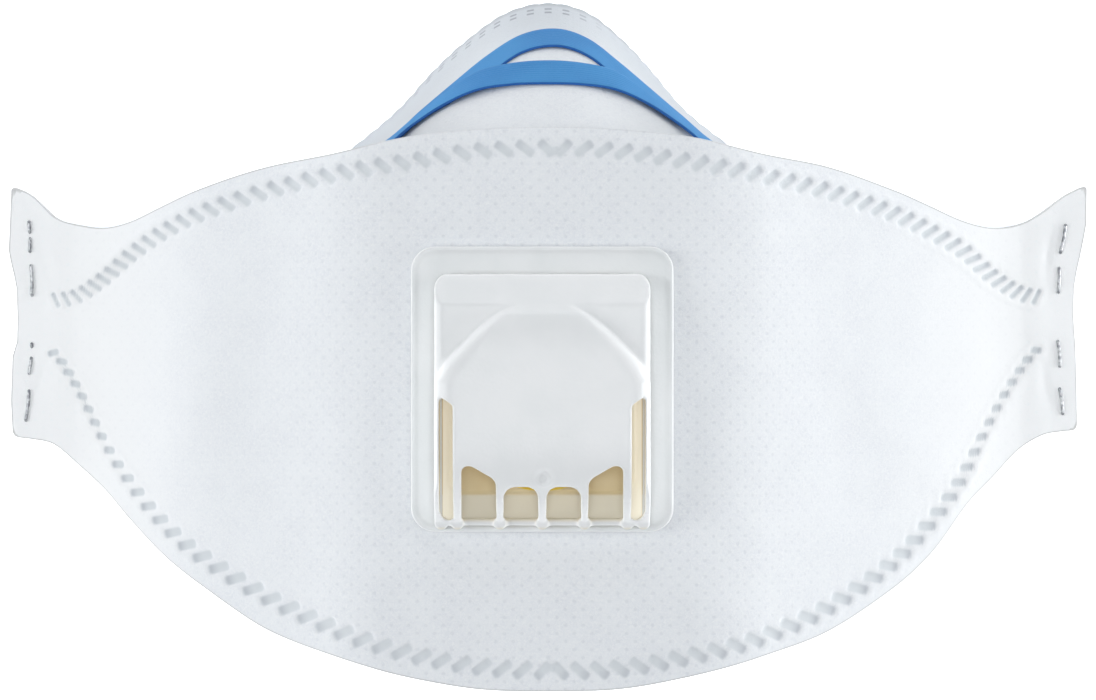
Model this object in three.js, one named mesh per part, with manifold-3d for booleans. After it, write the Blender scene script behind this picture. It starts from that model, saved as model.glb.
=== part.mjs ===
// A valved, flat-folding respirator, opened out and lying on its face opening.
// Millimetres. +Z is up and out of the front of the mask, +Y points to the nose, +X to its right-hand tab.
// The origin is the middle of the surface that the rims rest on.
//
// Three cloth panels make the body. The centre panel is an arch from tab to tab with a flat front.
// The upper and lower panels are welded behind its two long borders: outside the weld each is a
// strip that lies against the centre panel, and inside it a wall that runs back to the face.

import * as THREE from 'three';
import { mergeVertices } from 'three/addons/utils/BufferGeometryUtils.js';
import Module from 'manifold-3d';

const wasm = await Module();
wasm.setup();

// ---- driving dimensions -------------------------------------------------------------------------

const HALF_SPAN = 94.4;         // middle of the mask to the edge of a tab
const FRONT_HEIGHT = 48;        // flat front above the surface it lies on
const TAB_HEIGHT = 4.6;         // top of the tabs above that surface
const FRONT_HALF_WIDTH = 23;    // the flat front, before the arch falls away
const TAB_START = 90;           // where the arch has come down to the tab
const RAMP_IN = 0.22;           // share of the arch's fall spent turning down
const RAMP_OUT = 0.2;           // and turning flat again at the tab
const CAMBER = 4;               // fall of the front towards its long borders
const CAMBER_REACH = 25;        // length over which it builds up
const CAMBER_START = 26;        // half height of the front that stays flat
const FRONT_MIDDLE_Y = -7;

const PANEL_WALL = 1.2;         // centre panel
const SIDE_WALL = 1.0;          // upper and lower panels
const LAYER_GAP = 0.3;
const WELD_LAP = 1.3;           // the strip runs this far inside the weld line
const SIDE_BULGE = 3;           // outward swell of the side walls at the middle
const SIDE_HOLLOW = -0.4;       // share of it that a wall is drawn in by beyond its swollen stretch
const BULGE_FADE = 20;          // no swell is left at the tabs, over this length

const STRAP_THICKNESS = 0.8;

const WIRE = 0.5;               // staple wire
const STAPLE_CROWN = 5.8;
const STAPLE_HOLE = 1.2;

const VALVE = { x: -0.96, y: -6.6, width: 44.3, height: 48.1, plate: 1.6, corner: 3.7 };
const COVER = { width: 36.3, top: 19.6, bottom: -23.2, shoulder: 5.4, crown: 9.2, wall: 1.1, corner: 2.4 };
const HOOD_ARCH = { start: 1.5, top: 16.2, halfTop: 6.4, pullX: 4.2, pullY: 10.6 };
const EDGE_ROUNDING = { shoulder: 1.4, hood: 3.4 };
const SEAT = { y: -2.1, inner: 12.2, outer: 13.8, rise: 1.4, collar: 2.2, bar: 1.4 };
const FLAP = { radius: 15, thickness: 0.8 };
const PORT_RADIUS = 14.3;

// Borders and weld lines of the centre panel, a row for each distance x from the middle.
const BORDERS = [
  { x: 0, top: 37.8, topWeld: 34.0, lowWeld: -54.4, low: -57.9 },
  { x: 12, top: 37.4, topWeld: 33.7, lowWeld: -53.9, low: -57.5 },
  { x: 24, top: 36.1, topWeld: 32.6, lowWeld: -51.9, low: -55.4 },
  { x: 36, top: 33.8, topWeld: 30.4, lowWeld: -48.8, low: -52.2 },
  { x: 48, top: 31.2, topWeld: 27.8, lowWeld: -44.0, low: -48.0 },
  { x: 60, top: 27.5, topWeld: 23.3, lowWeld: -36.4, low: -40.4 },
  { x: 67, top: 25.0, topWeld: 20.0, lowWeld: -29.4, low: -34.7 },
  { x: 73, top: 22.7, topWeld: 16.2, lowWeld: -21.7, low: -28.1 },
  { x: 78, top: 21.8, topWeld: 12.4, lowWeld: -11.8, low: -22.9 },
  { x: 83, top: 22.6, topWeld: 9.8, lowWeld: -4.4, low: -18.4 },
  { x: 87, top: 24.2, topWeld: 8.6, lowWeld: -0.9, low: -16.1 },
  { x: 91, top: 27.2, topWeld: 8.5, lowWeld: -0.5, low: -15.4 },
  { x: HALF_SPAN, top: 28.6, topWeld: 8.5, lowWeld: -0.5, low: -13.6 },
];

// Free rims of the side walls: where the wall that starts at x on the weld line ends.
const UPPER_RIM = [
  { x: 0, rimX: 0, rimY: 61.0, rimZ: 0 },
  { x: 8, rimX: 7.6, rimY: 59.3, rimZ: 0 },
  { x: 16, rimX: 13.7, rimY: 54.4, rimZ: 0 },
  { x: 24, rimX: 19.2, rimY: 48.9, rimZ: 0 },
  { x: 32, rimX: 25.0, rimY: 42.3, rimZ: 0 },
  { x: 40, rimX: 32.4, rimY: 36.2, rimZ: 0 },
  { x: 48, rimX: 40.8, rimY: 30.3, rimZ: 0 },
  { x: 56, rimX: 50.0, rimY: 25.2, rimZ: 0 },
  { x: 63, rimX: 59.0, rimY: 21.6, rimZ: 0.6 },
  { x: 70, rimX: 68.0, rimY: 18.2, rimZ: 3.5 },
  { x: 76, rimX: 75.4, rimY: 15.0, rimZ: 3.7 },
  { x: 82, rimX: 82.0, rimY: 11.2, rimZ: 3.0 },
  { x: 87, rimX: 87.0, rimY: 9.2, rimZ: 2.45 },
];
const LOWER_RIM = [
  { x: 0, rimX: 0, rimY: -50.0, rimZ: 0 },
  { x: 16, rimX: 13.6, rimY: -48.7, rimZ: 0 },
  { x: 32, rimX: 28.0, rimY: -45.1, rimZ: 0 },
  { x: 48, rimX: 44.5, rimY: -37.7, rimZ: 0 },
  { x: 64, rimX: 62.5, rimY: -24.9, rimZ: 0 },
  { x: 72, rimX: 71.5, rimY: -16.0, rimZ: 0.6 },
  { x: 78, rimX: 77.6, rimY: -8.7, rimZ: 2.2 },
  { x: 83, rimX: 83.0, rimY: -4.2, rimZ: 2.5 },
  { x: 87, rimX: 87.0, rimY: -1.6, rimZ: 2.45 },
];
const RIM_END = 86.5;           // the side walls stop here, inside the tab's welded layers
const NOSE_LEAN = 2.2;          // the nose rim leans to the left by this much beside the nose
const LEAN_END = 64;

// Headbands on the upper panel: the shares of the wall, from weld (0) to rim (1), that they cover,
// and how far the band stands off the middle of the cloth.
const UPPER_STRAP_ROWS = [
  { x: 0, near: 0.59, far: 0.73, off: 1.3 },
  { x: 6, near: 0.51, far: 0.65, off: 2.2 },
  { x: 12, near: 0.37, far: 0.51, off: 2.5 },
  { x: 18, near: 0.31, far: 0.46, off: 2.4 },
  { x: 24, near: 0.18, far: 0.31, off: 2.5 },
  { x: 30, near: 0.1, far: 0.23, off: 2.7 },
  { x: 40, near: 0.16, far: 0.33, off: 2.7 },
  { x: 50, near: 0.2, far: 0.41, off: 2.6 },
  { x: 60, near: 0.26, far: 0.55, off: 2.6 },
];
const LOWER_STRAP_ROWS = [
  { x: 0, near: 0.325, far: 0.46, off: 1.2 },
  { x: 6, near: 0.33, far: 0.47, off: 1.2 },
  { x: 12, near: 0.34, far: 0.48, off: 1.2 },
  { x: 18, near: 0.33, far: 0.47, off: 1.2 },
  { x: 24, near: 0.27, far: 0.41, off: 1.35 },
  { x: 30, near: 0.2, far: 0.35, off: 1.5 },
  { x: 40, near: 0.28, far: 0.45, off: 1.5 },
  { x: 50, near: 0.4, far: 0.61, off: 1.4 },
  { x: 60, near: 0.52, far: 0.82, off: 1.3 },
];

// The upper band stands off further on the right, where it is slack.
const STRAP_SLACK = 1.2;
const SLACK_FROM = 12;
const SLACK_LENGTH = 40;

// Where the bands leave the wall and turn flat under a tab: their two edges, right-hand side.
const UPPER_STRAP_END = [
  { near: [66.4, 24.0, 12.4], far: [65.8, 23.7, 5.2] },
  { near: [71.3, 22.8, 9.4], far: [72.2, 22.3, 2.7] },
  { near: [76.5, 21.3, 6.3], far: [78.2, 18.7, 1.3] },
  { near: [82.5, 20.4, 2.8], far: [83.5, 14.0, 1.3] },
  { near: [88.0, 19.4, 1.3], far: [88.0, 12.6, 1.3] },
  { near: [94.0, 19.4, 1.3], far: [94.0, 12.6, 1.3] },
];
const LOWER_STRAP_END = [
  { near: [65.2, 22.1, 8.0], far: [64.8, 21.8, 1.4] },
  { near: [71.4, 20.7, 3.1], far: [70.2, 15.6, 1.2] },
  { near: [76.5, 17.4, 1.7], far: [73.4, 11.2, 1.2] },
  { near: [82.5, 9.6, 1.4], far: [78.0, 4.4, 1.3] },
  { near: [87.6, 1.4, 1.3], far: [83.0, -4.4, 1.3] },
  { near: [91.0, -2.3, 1.3], far: [89.0, -9.1, 1.3] },
  { near: [94.0, -2.3, 1.3], far: [94.0, -9.1, 1.3] },
];

// Staples, four through each tab: distance from the middle, place along the tab and lean in degrees.
const STAPLES = [
  { x: 91.4, y: 20.0, lean: 6 },
  { x: 90.9, y: 12.3, lean: 2 },
  { x: 90.7, y: -1.5, lean: 0 },
  { x: 91.0, y: -9.8, lean: -4 },
];

const LONG_CELLS = 46;          // facets along the arch
const FRONT_CELLS = 12;         // facets from border to border
const WALL_CELLS = 6;           // facets down a side wall
const STRAP_CELLS = 3;          // facets between two rows of a strap

const CLOTH = { color: 0xf1f3f5, roughness: 0.9, metalness: 0 };
const ELASTIC = { color: 0x4a8cc6, roughness: 0.75, metalness: 0 };
const COVER_PLASTIC = { color: 0xe4e6e6, roughness: 0.35, metalness: 0 };
const BASE_PLASTIC = { color: 0xd6cdb8, roughness: 0.45, metalness: 0 };
const DIAPHRAGM = { color: 0xdcc24a, roughness: 0.5, metalness: 0 };
const STEEL = { color: 0x9a9da0, roughness: 0.3, metalness: 1 };

// ---- helpers ------------------------------------------------------------------------------------

const point = (x, y, z) => new THREE.Vector3(x, y, z);
const clamp01 = (value) => Math.min(1, Math.max(0, value));
const steps = (count) => Array.from({ length: count + 1 }, (unused, index) => index / count);

// A smooth curve through one column of a table whose rows run outwards from the middle.
function column(rows, name) {
  const place = rows.map((row) => row.x);
  const value = rows.map((row) => row[name]);
  const slope = value.map((height, index) => {
    if (index === 0) return name === 'rimX' ? 1 : 0;
    const after = Math.min(index + 1, value.length - 1);
    return (value[after] - value[index - 1]) / (place[after] - place[index - 1]);
  });
  return (x) => {
    const at = Math.min(Math.abs(x), place[place.length - 1]);
    let row = 0;
    while (row < place.length - 2 && at > place[row + 1]) row += 1;
    const width = place[row + 1] - place[row];
    const t = (at - place[row]) / width;
    const rise = value[row + 1] - value[row];
    const bend = (slope[row] * width - rise) * (1 - t) - (slope[row + 1] * width - rise) * t;
    return value[row] + rise * t + bend * t * (1 - t);
  };
}

// A closed solid from two facing grids of points, joined along their four edges.
function slab(outer, inner) {
  const columns = outer.length;
  const rows = outer[0].length;
  const positions = [];
  for (const grid of [outer, inner]) {
    for (const line of grid) {
      for (const corner of line) positions.push(corner.x, corner.y, corner.z);
    }
  }
  const lastI = columns - 1;
  const lastJ = rows - 1;
  const at = (layer, i, j) => layer * columns * rows + i * rows + j;
  const index = [];
  const quad = (a, b, c, d) => index.push(a, b, c, a, c, d);
  for (let i = 0; i < lastI; i += 1) {
    for (let j = 0; j < lastJ; j += 1) {
      quad(at(0, i, j), at(0, i + 1, j), at(0, i + 1, j + 1), at(0, i, j + 1));
      quad(at(1, i, j), at(1, i, j + 1), at(1, i + 1, j + 1), at(1, i + 1, j));
    }
    quad(at(0, i, 0), at(1, i, 0), at(1, i + 1, 0), at(0, i + 1, 0));
    quad(at(0, i + 1, lastJ), at(1, i + 1, lastJ), at(1, i, lastJ), at(0, i, lastJ));
  }
  for (let j = 0; j < lastJ; j += 1) {
    quad(at(0, 0, j + 1), at(1, 0, j + 1), at(1, 0, j), at(0, 0, j));
    quad(at(0, lastI, j), at(1, lastI, j), at(1, lastI, j + 1), at(0, lastI, j + 1));
  }
  return outward(positions, index);
}

// Geometry with its faces pointing out: a negative volume means that they all point in.
function outward(positions, index) {
  const corner = (number) => point(...positions.slice(number * 3, number * 3 + 3));
  let volume = 0;
  for (let i = 0; i < index.length; i += 3) {
    volume += corner(index[i]).dot(corner(index[i + 1]).cross(corner(index[i + 2])));
  }
  if (volume < 0) index.reverse();
  const geometry = new THREE.BufferGeometry();
  geometry.setAttribute('position', new THREE.Float32BufferAttribute(positions, 3));
  geometry.setIndex(index);
  return geometry;
}

function solid(geometry) {
  const bare = geometry.clone();
  bare.deleteAttribute('normal');
  bare.deleteAttribute('uv');
  const merged = mergeVertices(bare, 1e-4);
  const mesh = new wasm.Mesh({
    numProp: 3,
    vertProperties: new Float32Array(merged.attributes.position.array),
    triVerts: new Uint32Array(merged.index.array),
  });
  return new wasm.Manifold(mesh);
}

function geometryOf(body) {
  const mesh = body.getMesh();
  const geometry = new THREE.BufferGeometry();
  geometry.setAttribute('position', new THREE.BufferAttribute(new Float32Array(mesh.vertProperties), 3));
  geometry.setIndex(new THREE.BufferAttribute(new Uint32Array(mesh.triVerts), 1));
  return geometry;
}

function outline(points) {
  return new THREE.Shape(points.map(([x, y]) => new THREE.Vector2(x, y)));
}

function roundedRectangle(left, right, bottom, top, radius) {
  const shape = new THREE.Shape();
  shape.moveTo(left + radius, bottom);
  shape.lineTo(right - radius, bottom);
  shape.absarc(right - radius, bottom + radius, radius, -Math.PI / 2, 0);
  shape.lineTo(right, top - radius);
  shape.absarc(right - radius, top - radius, radius, 0, Math.PI / 2);
  shape.lineTo(left + radius, top);
  shape.absarc(left + radius, top - radius, radius, Math.PI / 2, Math.PI);
  shape.lineTo(left, bottom + radius);
  shape.absarc(left + radius, bottom + radius, radius, Math.PI, Math.PI * 1.5);
  return shape;
}

// A prism along Z between two heights.
function prism(shape, low, high, curveSegments = 5) {
  const depth = high - low;
  const geometry = new THREE.ExtrudeGeometry(shape, { depth, bevelEnabled: false, curveSegments });
  return geometry.translate(0, 0, low);
}

// The same with its upper edge rounded over; the rounding of its lower edge lies below the low height.
function roundedPrism(shape, low, high, round, segments) {
  const geometry = new THREE.ExtrudeGeometry(shape, {
    depth: high - low,
    bevelThickness: round,
    bevelSize: round,
    bevelOffset: -round,
    bevelSegments: segments,
    curveSegments: 4,
  });
  return geometry.translate(0, 0, low - round);
}

// A prism along X of a profile given as (y, z).
function sideProfile(points, halfWidth) {
  const depth = 2 * halfWidth;
  const geometry = new THREE.ExtrudeGeometry(outline(points), { depth, bevelEnabled: false });
  geometry.translate(0, 0, -halfWidth);
  geometry.rotateY(Math.PI / 2);
  return geometry.rotateX(Math.PI / 2);
}

function node(name, geometry, finish) {
  const mesh = new THREE.Mesh(geometry, new THREE.MeshStandardMaterial(finish));
  mesh.name = name;
  return mesh;
}

// ---- the centre panel's surface --------------------------------------------------------------------

const border = {
  top: column(BORDERS, 'top'),
  topWeld: column(BORDERS, 'topWeld'),
  lowWeld: column(BORDERS, 'lowWeld'),
  low: column(BORDERS, 'low'),
};

// Share of the arch's height that is left at x: an even slope with a smooth turn at each end.
function archShare(x) {
  const run = clamp01((Math.abs(x) - FRONT_HALF_WIDTH) / (TAB_START - FRONT_HALF_WIDTH));
  const slope = 1 / (1 - (RAMP_IN + RAMP_OUT) / 2);
  if (run < RAMP_IN) return 1 - slope * run * run / (2 * RAMP_IN);
  if (run < 1 - RAMP_OUT) return 1 - slope * (run - RAMP_IN / 2);
  return slope * (1 - run) * (1 - run) / (2 * RAMP_OUT);
}

function frontHeight(x, y) {
  const share = archShare(x);
  const past = Math.max(0, Math.abs(y - FRONT_MIDDLE_Y) - CAMBER_START) / CAMBER_REACH;
  return TAB_HEIGHT + (FRONT_HEIGHT - TAB_HEIGHT - CAMBER * past * past) * share;
}

// A point of the front, or of a layer that lies the given depth behind it.
function frontPoint(x, y, depth) {
  const step = 0.2;
  const slopeX = (frontHeight(x + step, y) - frontHeight(x - step, y)) / (2 * step);
  const slopeY = (frontHeight(x, y + step) - frontHeight(x, y - step)) / (2 * step);
  const normal = point(-slopeX, -slopeY, 1).normalize();
  return point(x, y, frontHeight(x, y)).addScaledVector(normal, -depth);
}

const stations = steps(LONG_CELLS).map((share) => (2 * share - 1) * HALF_SPAN);

// Cloth between two lines that run from tab to tab, at a depth behind the front.
function frontLayer(fromLine, toLine, cells, depth, thickness) {
  const grid = (level) => stations.map((x) => steps(cells).map((share) => {
    const y = THREE.MathUtils.lerp(fromLine(x), toLine(x), share);
    return frontPoint(x, y, level);
  }));
  return slab(grid(depth), grid(depth + thickness));
}

// ---- the side walls --------------------------------------------------------------------------------

// way is the side of the mask, lift tips the swell upwards, and swollen is where the swell has ended.
const SIDES = {
  upper: {
    weld: border.topWeld, edge: border.top, rows: UPPER_RIM, way: 1, lift: 0.5, lean: NOSE_LEAN, swollen: 34,
  },
  lower: {
    weld: border.lowWeld, edge: border.low, rows: LOWER_RIM, way: -1, lift: 0, lean: 0, swollen: RIM_END,
  },
};
for (const side of Object.values(SIDES)) {
  const lift = column(side.rows, 'rimZ');
  side.rim = { x: column(side.rows, 'rimX'), y: column(side.rows, 'rimY'), z: (x) => Math.max(0, lift(x)) };
}

// The lean is nothing at the middle, fullest beside the nose and nothing again towards the tabs.
const leanShare = (x) => Math.sin(Math.PI * clamp01(Math.abs(x) / LEAN_END)) ** 2;

// The middle of the wall's cloth: x picks the ruling, share runs from the weld to the rim.
function wallMiddle(side, x, share) {
  const root = frontPoint(x, side.weld(x), PANEL_WALL + LAYER_GAP + SIDE_WALL / 2);
  const rimX = Math.sign(x) * side.rim.x(x) - side.lean * leanShare(x);
  const rim = point(rimX, side.rim.y(x), side.rim.z(x));
  const fade = clamp01((RIM_END - Math.abs(x)) / BULGE_FADE);
  const fullness = Math.max(SIDE_HOLLOW, 1 - (x / side.swollen) ** 2);
  const swell = SIDE_BULGE * fade * fullness * Math.sin(Math.PI * share);
  const way = point(0, side.way, side.lift).normalize();
  return root.lerp(rim, share).addScaledVector(way, swell);
}

function wallNormal(side, x, share) {
  const low = Math.max(0, share - 0.02);
  const high = Math.min(1, share + 0.02);
  const along = wallMiddle(side, x + 0.3, share).sub(wallMiddle(side, x - 0.3, share));
  const down = wallMiddle(side, x, high).sub(wallMiddle(side, x, low));
  return along.cross(down).multiplyScalar(side.way).normalize();
}

// A point of the wall's outer (positive) or inner (negative) side. The rim's two sides stay level.
function wallPoint(side, x, share, offset) {
  const normal = wallNormal(side, x, share);
  if (share === 1) {
    normal.z = 0;
    normal.normalize();
  }
  return wallMiddle(side, x, share).addScaledVector(normal, offset);
}

const wallStations = steps(LONG_CELLS).map((share) => (2 * share - 1) * RIM_END);

function sideWall(side) {
  const ruling = (x, offset) => steps(WALL_CELLS).map((share) => wallPoint(side, x, share, offset));
  const grid = (offset) => wallStations.map((x) => ruling(x, offset));
  return slab(grid(SIDE_WALL / 2), grid(-SIDE_WALL / 2));
}

// ---- staples ---------------------------------------------------------------------------------------

const staplePlaces = [-1, 1].flatMap((hand) => STAPLES.map((row, index) => ({
  name: `staple_${hand < 0 ? 'left' : 'right'}_${index + 1}`,
  x: hand * row.x,
  y: row.y,
  turn: THREE.MathUtils.degToRad(-hand * row.lean),
})));

// Crown on the front of the tab, two legs, and feet bent towards each other under the strap.
function stapleGeometry() {
  const top = TAB_HEIGHT + 0.15 + WIRE;
  const foot = 0.1;
  const half = STAPLE_CROWN / 2;
  const toe = 0.9;
  const shape = outline([
    [-half, foot], [-toe, foot], [-toe, foot + WIRE], [-half + WIRE, foot + WIRE],
    [-half + WIRE, top - WIRE], [half - WIRE, top - WIRE], [half - WIRE, foot + WIRE],
    [toe, foot + WIRE], [toe, foot], [half, foot], [half, top], [-half, top],
  ]);
  const geometry = new THREE.ExtrudeGeometry(shape, { depth: WIRE, bevelEnabled: false });
  geometry.translate(0, 0, -WIRE / 2);
  geometry.rotateX(Math.PI / 2);
  return geometry.rotateZ(Math.PI / 2);
}

function stapleHoles() {
  const legs = staplePlaces.flatMap((place) => [-1, 1].map((end) => {
    const hole = new THREE.BoxGeometry(STAPLE_HOLE, STAPLE_HOLE, TAB_HEIGHT * 2);
    hole.translate(0, end * (STAPLE_CROWN - WIRE) / 2, TAB_HEIGHT);
    hole.rotateZ(place.turn);
    return solid(hole.translate(place.x, place.y, 0));
  }));
  return legs.reduce((all, leg) => all.add(leg));
}

// ---- straps ----------------------------------------------------------------------------------------

function strapGeometry(rows, end, slack) {
  const onWall = (x, row, edge) => {
    const loose = slack * Math.sin(Math.PI * clamp01((x - SLACK_FROM) / SLACK_LENGTH));
    return wallPoint(SIDES.upper, x, row[edge], row.off + loose);
  };
  const edgeCurve = (edge) => {
    const left = rows.slice(1).reverse().map((row) => onWall(-row.x, row, edge));
    const right = rows.map((row) => onWall(row.x, row, edge));
    const rightEnd = end.map((row) => point(...row[edge]));
    const leftEnd = end.map((row) => point(-row[edge][0], row[edge][1], row[edge][2])).reverse();
    const route = [...leftEnd, ...left, ...right, ...rightEnd];
    return new THREE.CatmullRomCurve3(route, false, 'catmullrom', 0.5);
  };
  const near = edgeCurve('near');
  const far = edgeCurve('far');
  const count = (near.points.length - 1) * STRAP_CELLS;
  const sections = steps(count).map((t) => {
    const a = near.getPoint(t);
    const b = far.getPoint(t);
    const along = near.getTangent(t).add(far.getTangent(t));
    const normal = along.cross(b.clone().sub(a)).normalize();
    return { a, b, normal };
  });
  const grid = (offset) => sections.map(({ a, b, normal }) => [a, b].map((edge) => (
    edge.clone().addScaledVector(normal, offset))));
  return slab(grid(STRAP_THICKNESS / 2), grid(-STRAP_THICKNESS / 2));
}

// ---- exhalation valve ------------------------------------------------------------------------------

const plateLow = FRONT_HEIGHT + LAYER_GAP;
const plateTop = plateLow + VALVE.plate;

function ring(inner, outer, low, high) {
  const shape = new THREE.Shape().absarc(0, SEAT.y, outer, 0, Math.PI * 2);
  shape.holes.push(new THREE.Path().absarc(0, SEAT.y, inner, 0, Math.PI * 2, true));
  return prism(shape, low, high, 16);
}

// Plate with the seat standing on it, a collar through the cloth and a cross that carries the flap.
function valveBase() {
  const halfWidth = VALVE.width / 2;
  const halfHeight = VALVE.height / 2;
  const plate = roundedRectangle(-halfWidth, halfWidth, -halfHeight, halfHeight, VALVE.corner);
  plate.holes.push(new THREE.Path().absarc(0, SEAT.y, SEAT.inner, 0, Math.PI * 2, true));
  const seatTop = plateTop + SEAT.rise;
  const bar = (width, height) => new THREE.BoxGeometry(width, height, VALVE.plate)
    .translate(0, SEAT.y, plateLow + VALVE.plate / 2);
  const reach = SEAT.inner + SEAT.outer - 0.8;
  return geometryOf([
    ring(SEAT.inner, SEAT.outer, plateLow - SEAT.collar, seatTop),
    bar(SEAT.bar, reach),
    bar(reach, SEAT.bar),
  ].map(solid).reduce((all, piece) => all.add(piece), solid(prism(plate, plateLow, plateTop, 6))));
}

function valveFlap() {
  const low = plateTop + SEAT.rise + LAYER_GAP;
  const disc = new THREE.Shape().absarc(0, SEAT.y, FLAP.radius, 0, Math.PI * 2);
  return prism(disc, low, low + FLAP.thickness, 18);
}

// The hood's plan: full width below, drawing in to an arch under the top ledge.
function hoodOutline(inset) {
  const half = COVER.width / 2 - inset;
  const archTop = HOOD_ARCH.top - inset;
  const pullX = half - HOOD_ARCH.pullX;
  const pullY = HOOD_ARCH.pullY - inset;
  const shape = new THREE.Shape();
  shape.moveTo(-half, COVER.bottom - 2);
  shape.lineTo(half, COVER.bottom - 2);
  shape.lineTo(half, HOOD_ARCH.start);
  shape.quadraticCurveTo(pullX, pullY, HOOD_ARCH.halfTop, archTop);
  shape.lineTo(-HOOD_ARCH.halfTop, archTop);
  shape.quadraticCurveTo(-pullX, pullY, -half, HOOD_ARCH.start);
  return shape;
}

// The cover's outer body, or with an inset the hollow inside it.
function coverBody(inset) {
  const low = inset ? -2 : 0;
  const half = COVER.width / 2 - inset;
  const top = COVER.top - inset;
  const bottom = COVER.bottom + inset;
  const shoulder = COVER.shoulder - inset;
  const crown = COVER.crown - inset;
  const plan = roundedRectangle(-half, half, bottom, top, COVER.corner);
  const box = roundedPrism(plan, low, shoulder, EDGE_ROUNDING.shoulder, 3);
  const hood = roundedPrism(hoodOutline(inset), low, crown, EDGE_ROUNDING.hood, 4);
  const profile = sideProfile([
    [top, low], [top - 0.4, 1.2], [14.2 - inset, shoulder],
    [12.6 - inset, crown - 1.6], [9.5 - inset, crown - 0.5], [4, crown],
    [-9, crown], [-14, crown - 0.7], [-18, crown - 2.6], [-21, crown - 5.2],
    [bottom + 0.5, 1.6], [bottom, low],
  ], half + 1);
  const under = new THREE.BoxGeometry(COVER.width * 2, COVER.top * 4, 20).translate(0, 0, low - 10);
  return solid(box).add(solid(hood)).intersect(solid(profile)).subtract(solid(under));
}

// Openings between the ribs: side slots, outer windows and inner windows, as (x, y) outlines.
const SLOT = [[15.0, -26], [15.0, -2.6], [15.9, -2.1], [17.1, -1.2], [17.2, -26]];
const OUTER_WINDOW = [
  [7.8, -26], [13.5, -26], [13.5, -13.4], [12.9, -12.8], [11.9, -12.8], [8.3, -14.9], [7.8, -15.7],
];
const INNER_WINDOW = [
  [0.75, -26], [6.4, -26], [6.4, -17.6], [5.8, -16.7], [4.8, -16.3], [2.3, -16.3], [1.2, -16.8], [0.75, -17.8],
];
const SILL = 1.1;

function valveCover() {
  const openings = [SLOT, OUTER_WINDOW, INNER_WINDOW].flatMap((points) => [-1, 1].map((hand) => {
    const shape = outline(points.map(([x, y]) => [hand * x, y]));
    return solid(prism(shape, SILL, COVER.crown + 2));
  }));
  const body = coverBody(0).subtract(coverBody(COVER.wall));
  return geometryOf(openings.reduce((left, opening) => left.subtract(opening), body));
}

// ---- the assembly ----------------------------------------------------------------------------------

const holes = stapleHoles();
const port = solid(new THREE.CylinderGeometry(PORT_RADIUS, PORT_RADIUS, 10, 40)
  .rotateX(Math.PI / 2).translate(VALVE.x, VALVE.y + SEAT.y, FRONT_HEIGHT));

const centrePanel = solid(frontLayer(border.low, border.top, FRONT_CELLS, 0, PANEL_WALL))
  .subtract(port).subtract(holes);

// A side panel is its welded strip and its wall as one piece of cloth.
function sidePanel(side) {
  const inside = (x) => side.weld(x) - side.way * WELD_LAP;
  const strip = frontLayer(inside, side.edge, 2, PANEL_WALL + LAYER_GAP, SIDE_WALL);
  return geometryOf(solid(strip).add(solid(sideWall(side))).subtract(holes));
}

const lowestY = BORDERS[0].low;
const highestY = UPPER_RIM[0].rimY + SIDE_WALL / 2;
const respirator = new THREE.Group();
respirator.position.y = -(lowestY + highestY) / 2;
respirator.add(node('center_panel', geometryOf(centrePanel), CLOTH));
respirator.add(node('upper_panel', sidePanel(SIDES.upper), CLOTH));
respirator.add(node('lower_panel', sidePanel(SIDES.lower), CLOTH));

const upperStrap = strapGeometry(UPPER_STRAP_ROWS, UPPER_STRAP_END, STRAP_SLACK);
const lowerStrap = strapGeometry(LOWER_STRAP_ROWS, LOWER_STRAP_END, 0);
respirator.add(node('upper_strap', geometryOf(solid(upperStrap).subtract(holes)), ELASTIC));
respirator.add(node('lower_strap', geometryOf(solid(lowerStrap).subtract(holes)), ELASTIC));

for (const place of staplePlaces) {
  const staple = node(place.name, stapleGeometry(), STEEL);
  staple.position.set(place.x, place.y, 0);
  staple.rotation.z = place.turn;
  respirator.add(staple);
}

const valve = new THREE.Group();
valve.position.set(VALVE.x, VALVE.y, 0);
valve.add(node('valve_base', valveBase(), BASE_PLASTIC));
valve.add(node('valve_flap', valveFlap(), DIAPHRAGM));
const cover = node('valve_cover', valveCover(), COVER_PLASTIC);
cover.position.z = plateTop + LAYER_GAP;
valve.add(cover);
respirator.add(valve);

export default respirator;
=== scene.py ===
# A valved, flat-folding respirator, opened out and lying on its face opening in a white studio.
# The tables are in millimetres, with y from the middle of the front; finished meshes are in metres.
import math
import random
from functools import partial

import bmesh
import bpy
import numpy as np
from mathutils import Matrix, Vector
from mathutils.bvhtree import BVHTree


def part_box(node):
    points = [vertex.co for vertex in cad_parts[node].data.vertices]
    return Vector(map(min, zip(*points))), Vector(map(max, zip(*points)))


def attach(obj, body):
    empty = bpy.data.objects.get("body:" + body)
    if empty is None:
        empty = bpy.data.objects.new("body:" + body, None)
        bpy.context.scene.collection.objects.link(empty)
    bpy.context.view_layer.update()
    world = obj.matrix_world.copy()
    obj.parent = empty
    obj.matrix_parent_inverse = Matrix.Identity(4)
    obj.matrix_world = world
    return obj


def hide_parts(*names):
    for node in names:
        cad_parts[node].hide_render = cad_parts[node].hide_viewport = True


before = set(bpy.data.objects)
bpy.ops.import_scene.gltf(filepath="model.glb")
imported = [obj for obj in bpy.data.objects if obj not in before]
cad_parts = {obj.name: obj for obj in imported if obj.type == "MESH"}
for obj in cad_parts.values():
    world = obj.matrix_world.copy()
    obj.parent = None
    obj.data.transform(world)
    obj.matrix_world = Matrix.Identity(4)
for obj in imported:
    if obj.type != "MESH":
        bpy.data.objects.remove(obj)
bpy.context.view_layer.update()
bpy.ops.object.select_all(action="DESELECT")
random.seed(7)

MM = 0.001


def table(header, *rows):
    """{column name: its numbers} for a small table that is typed a row at a time."""
    return {name: np.array([row[i] for row in rows], float) for i, name in enumerate(header.split())}


# ---- sizes --------------------------------------------------------------------------------------

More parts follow.
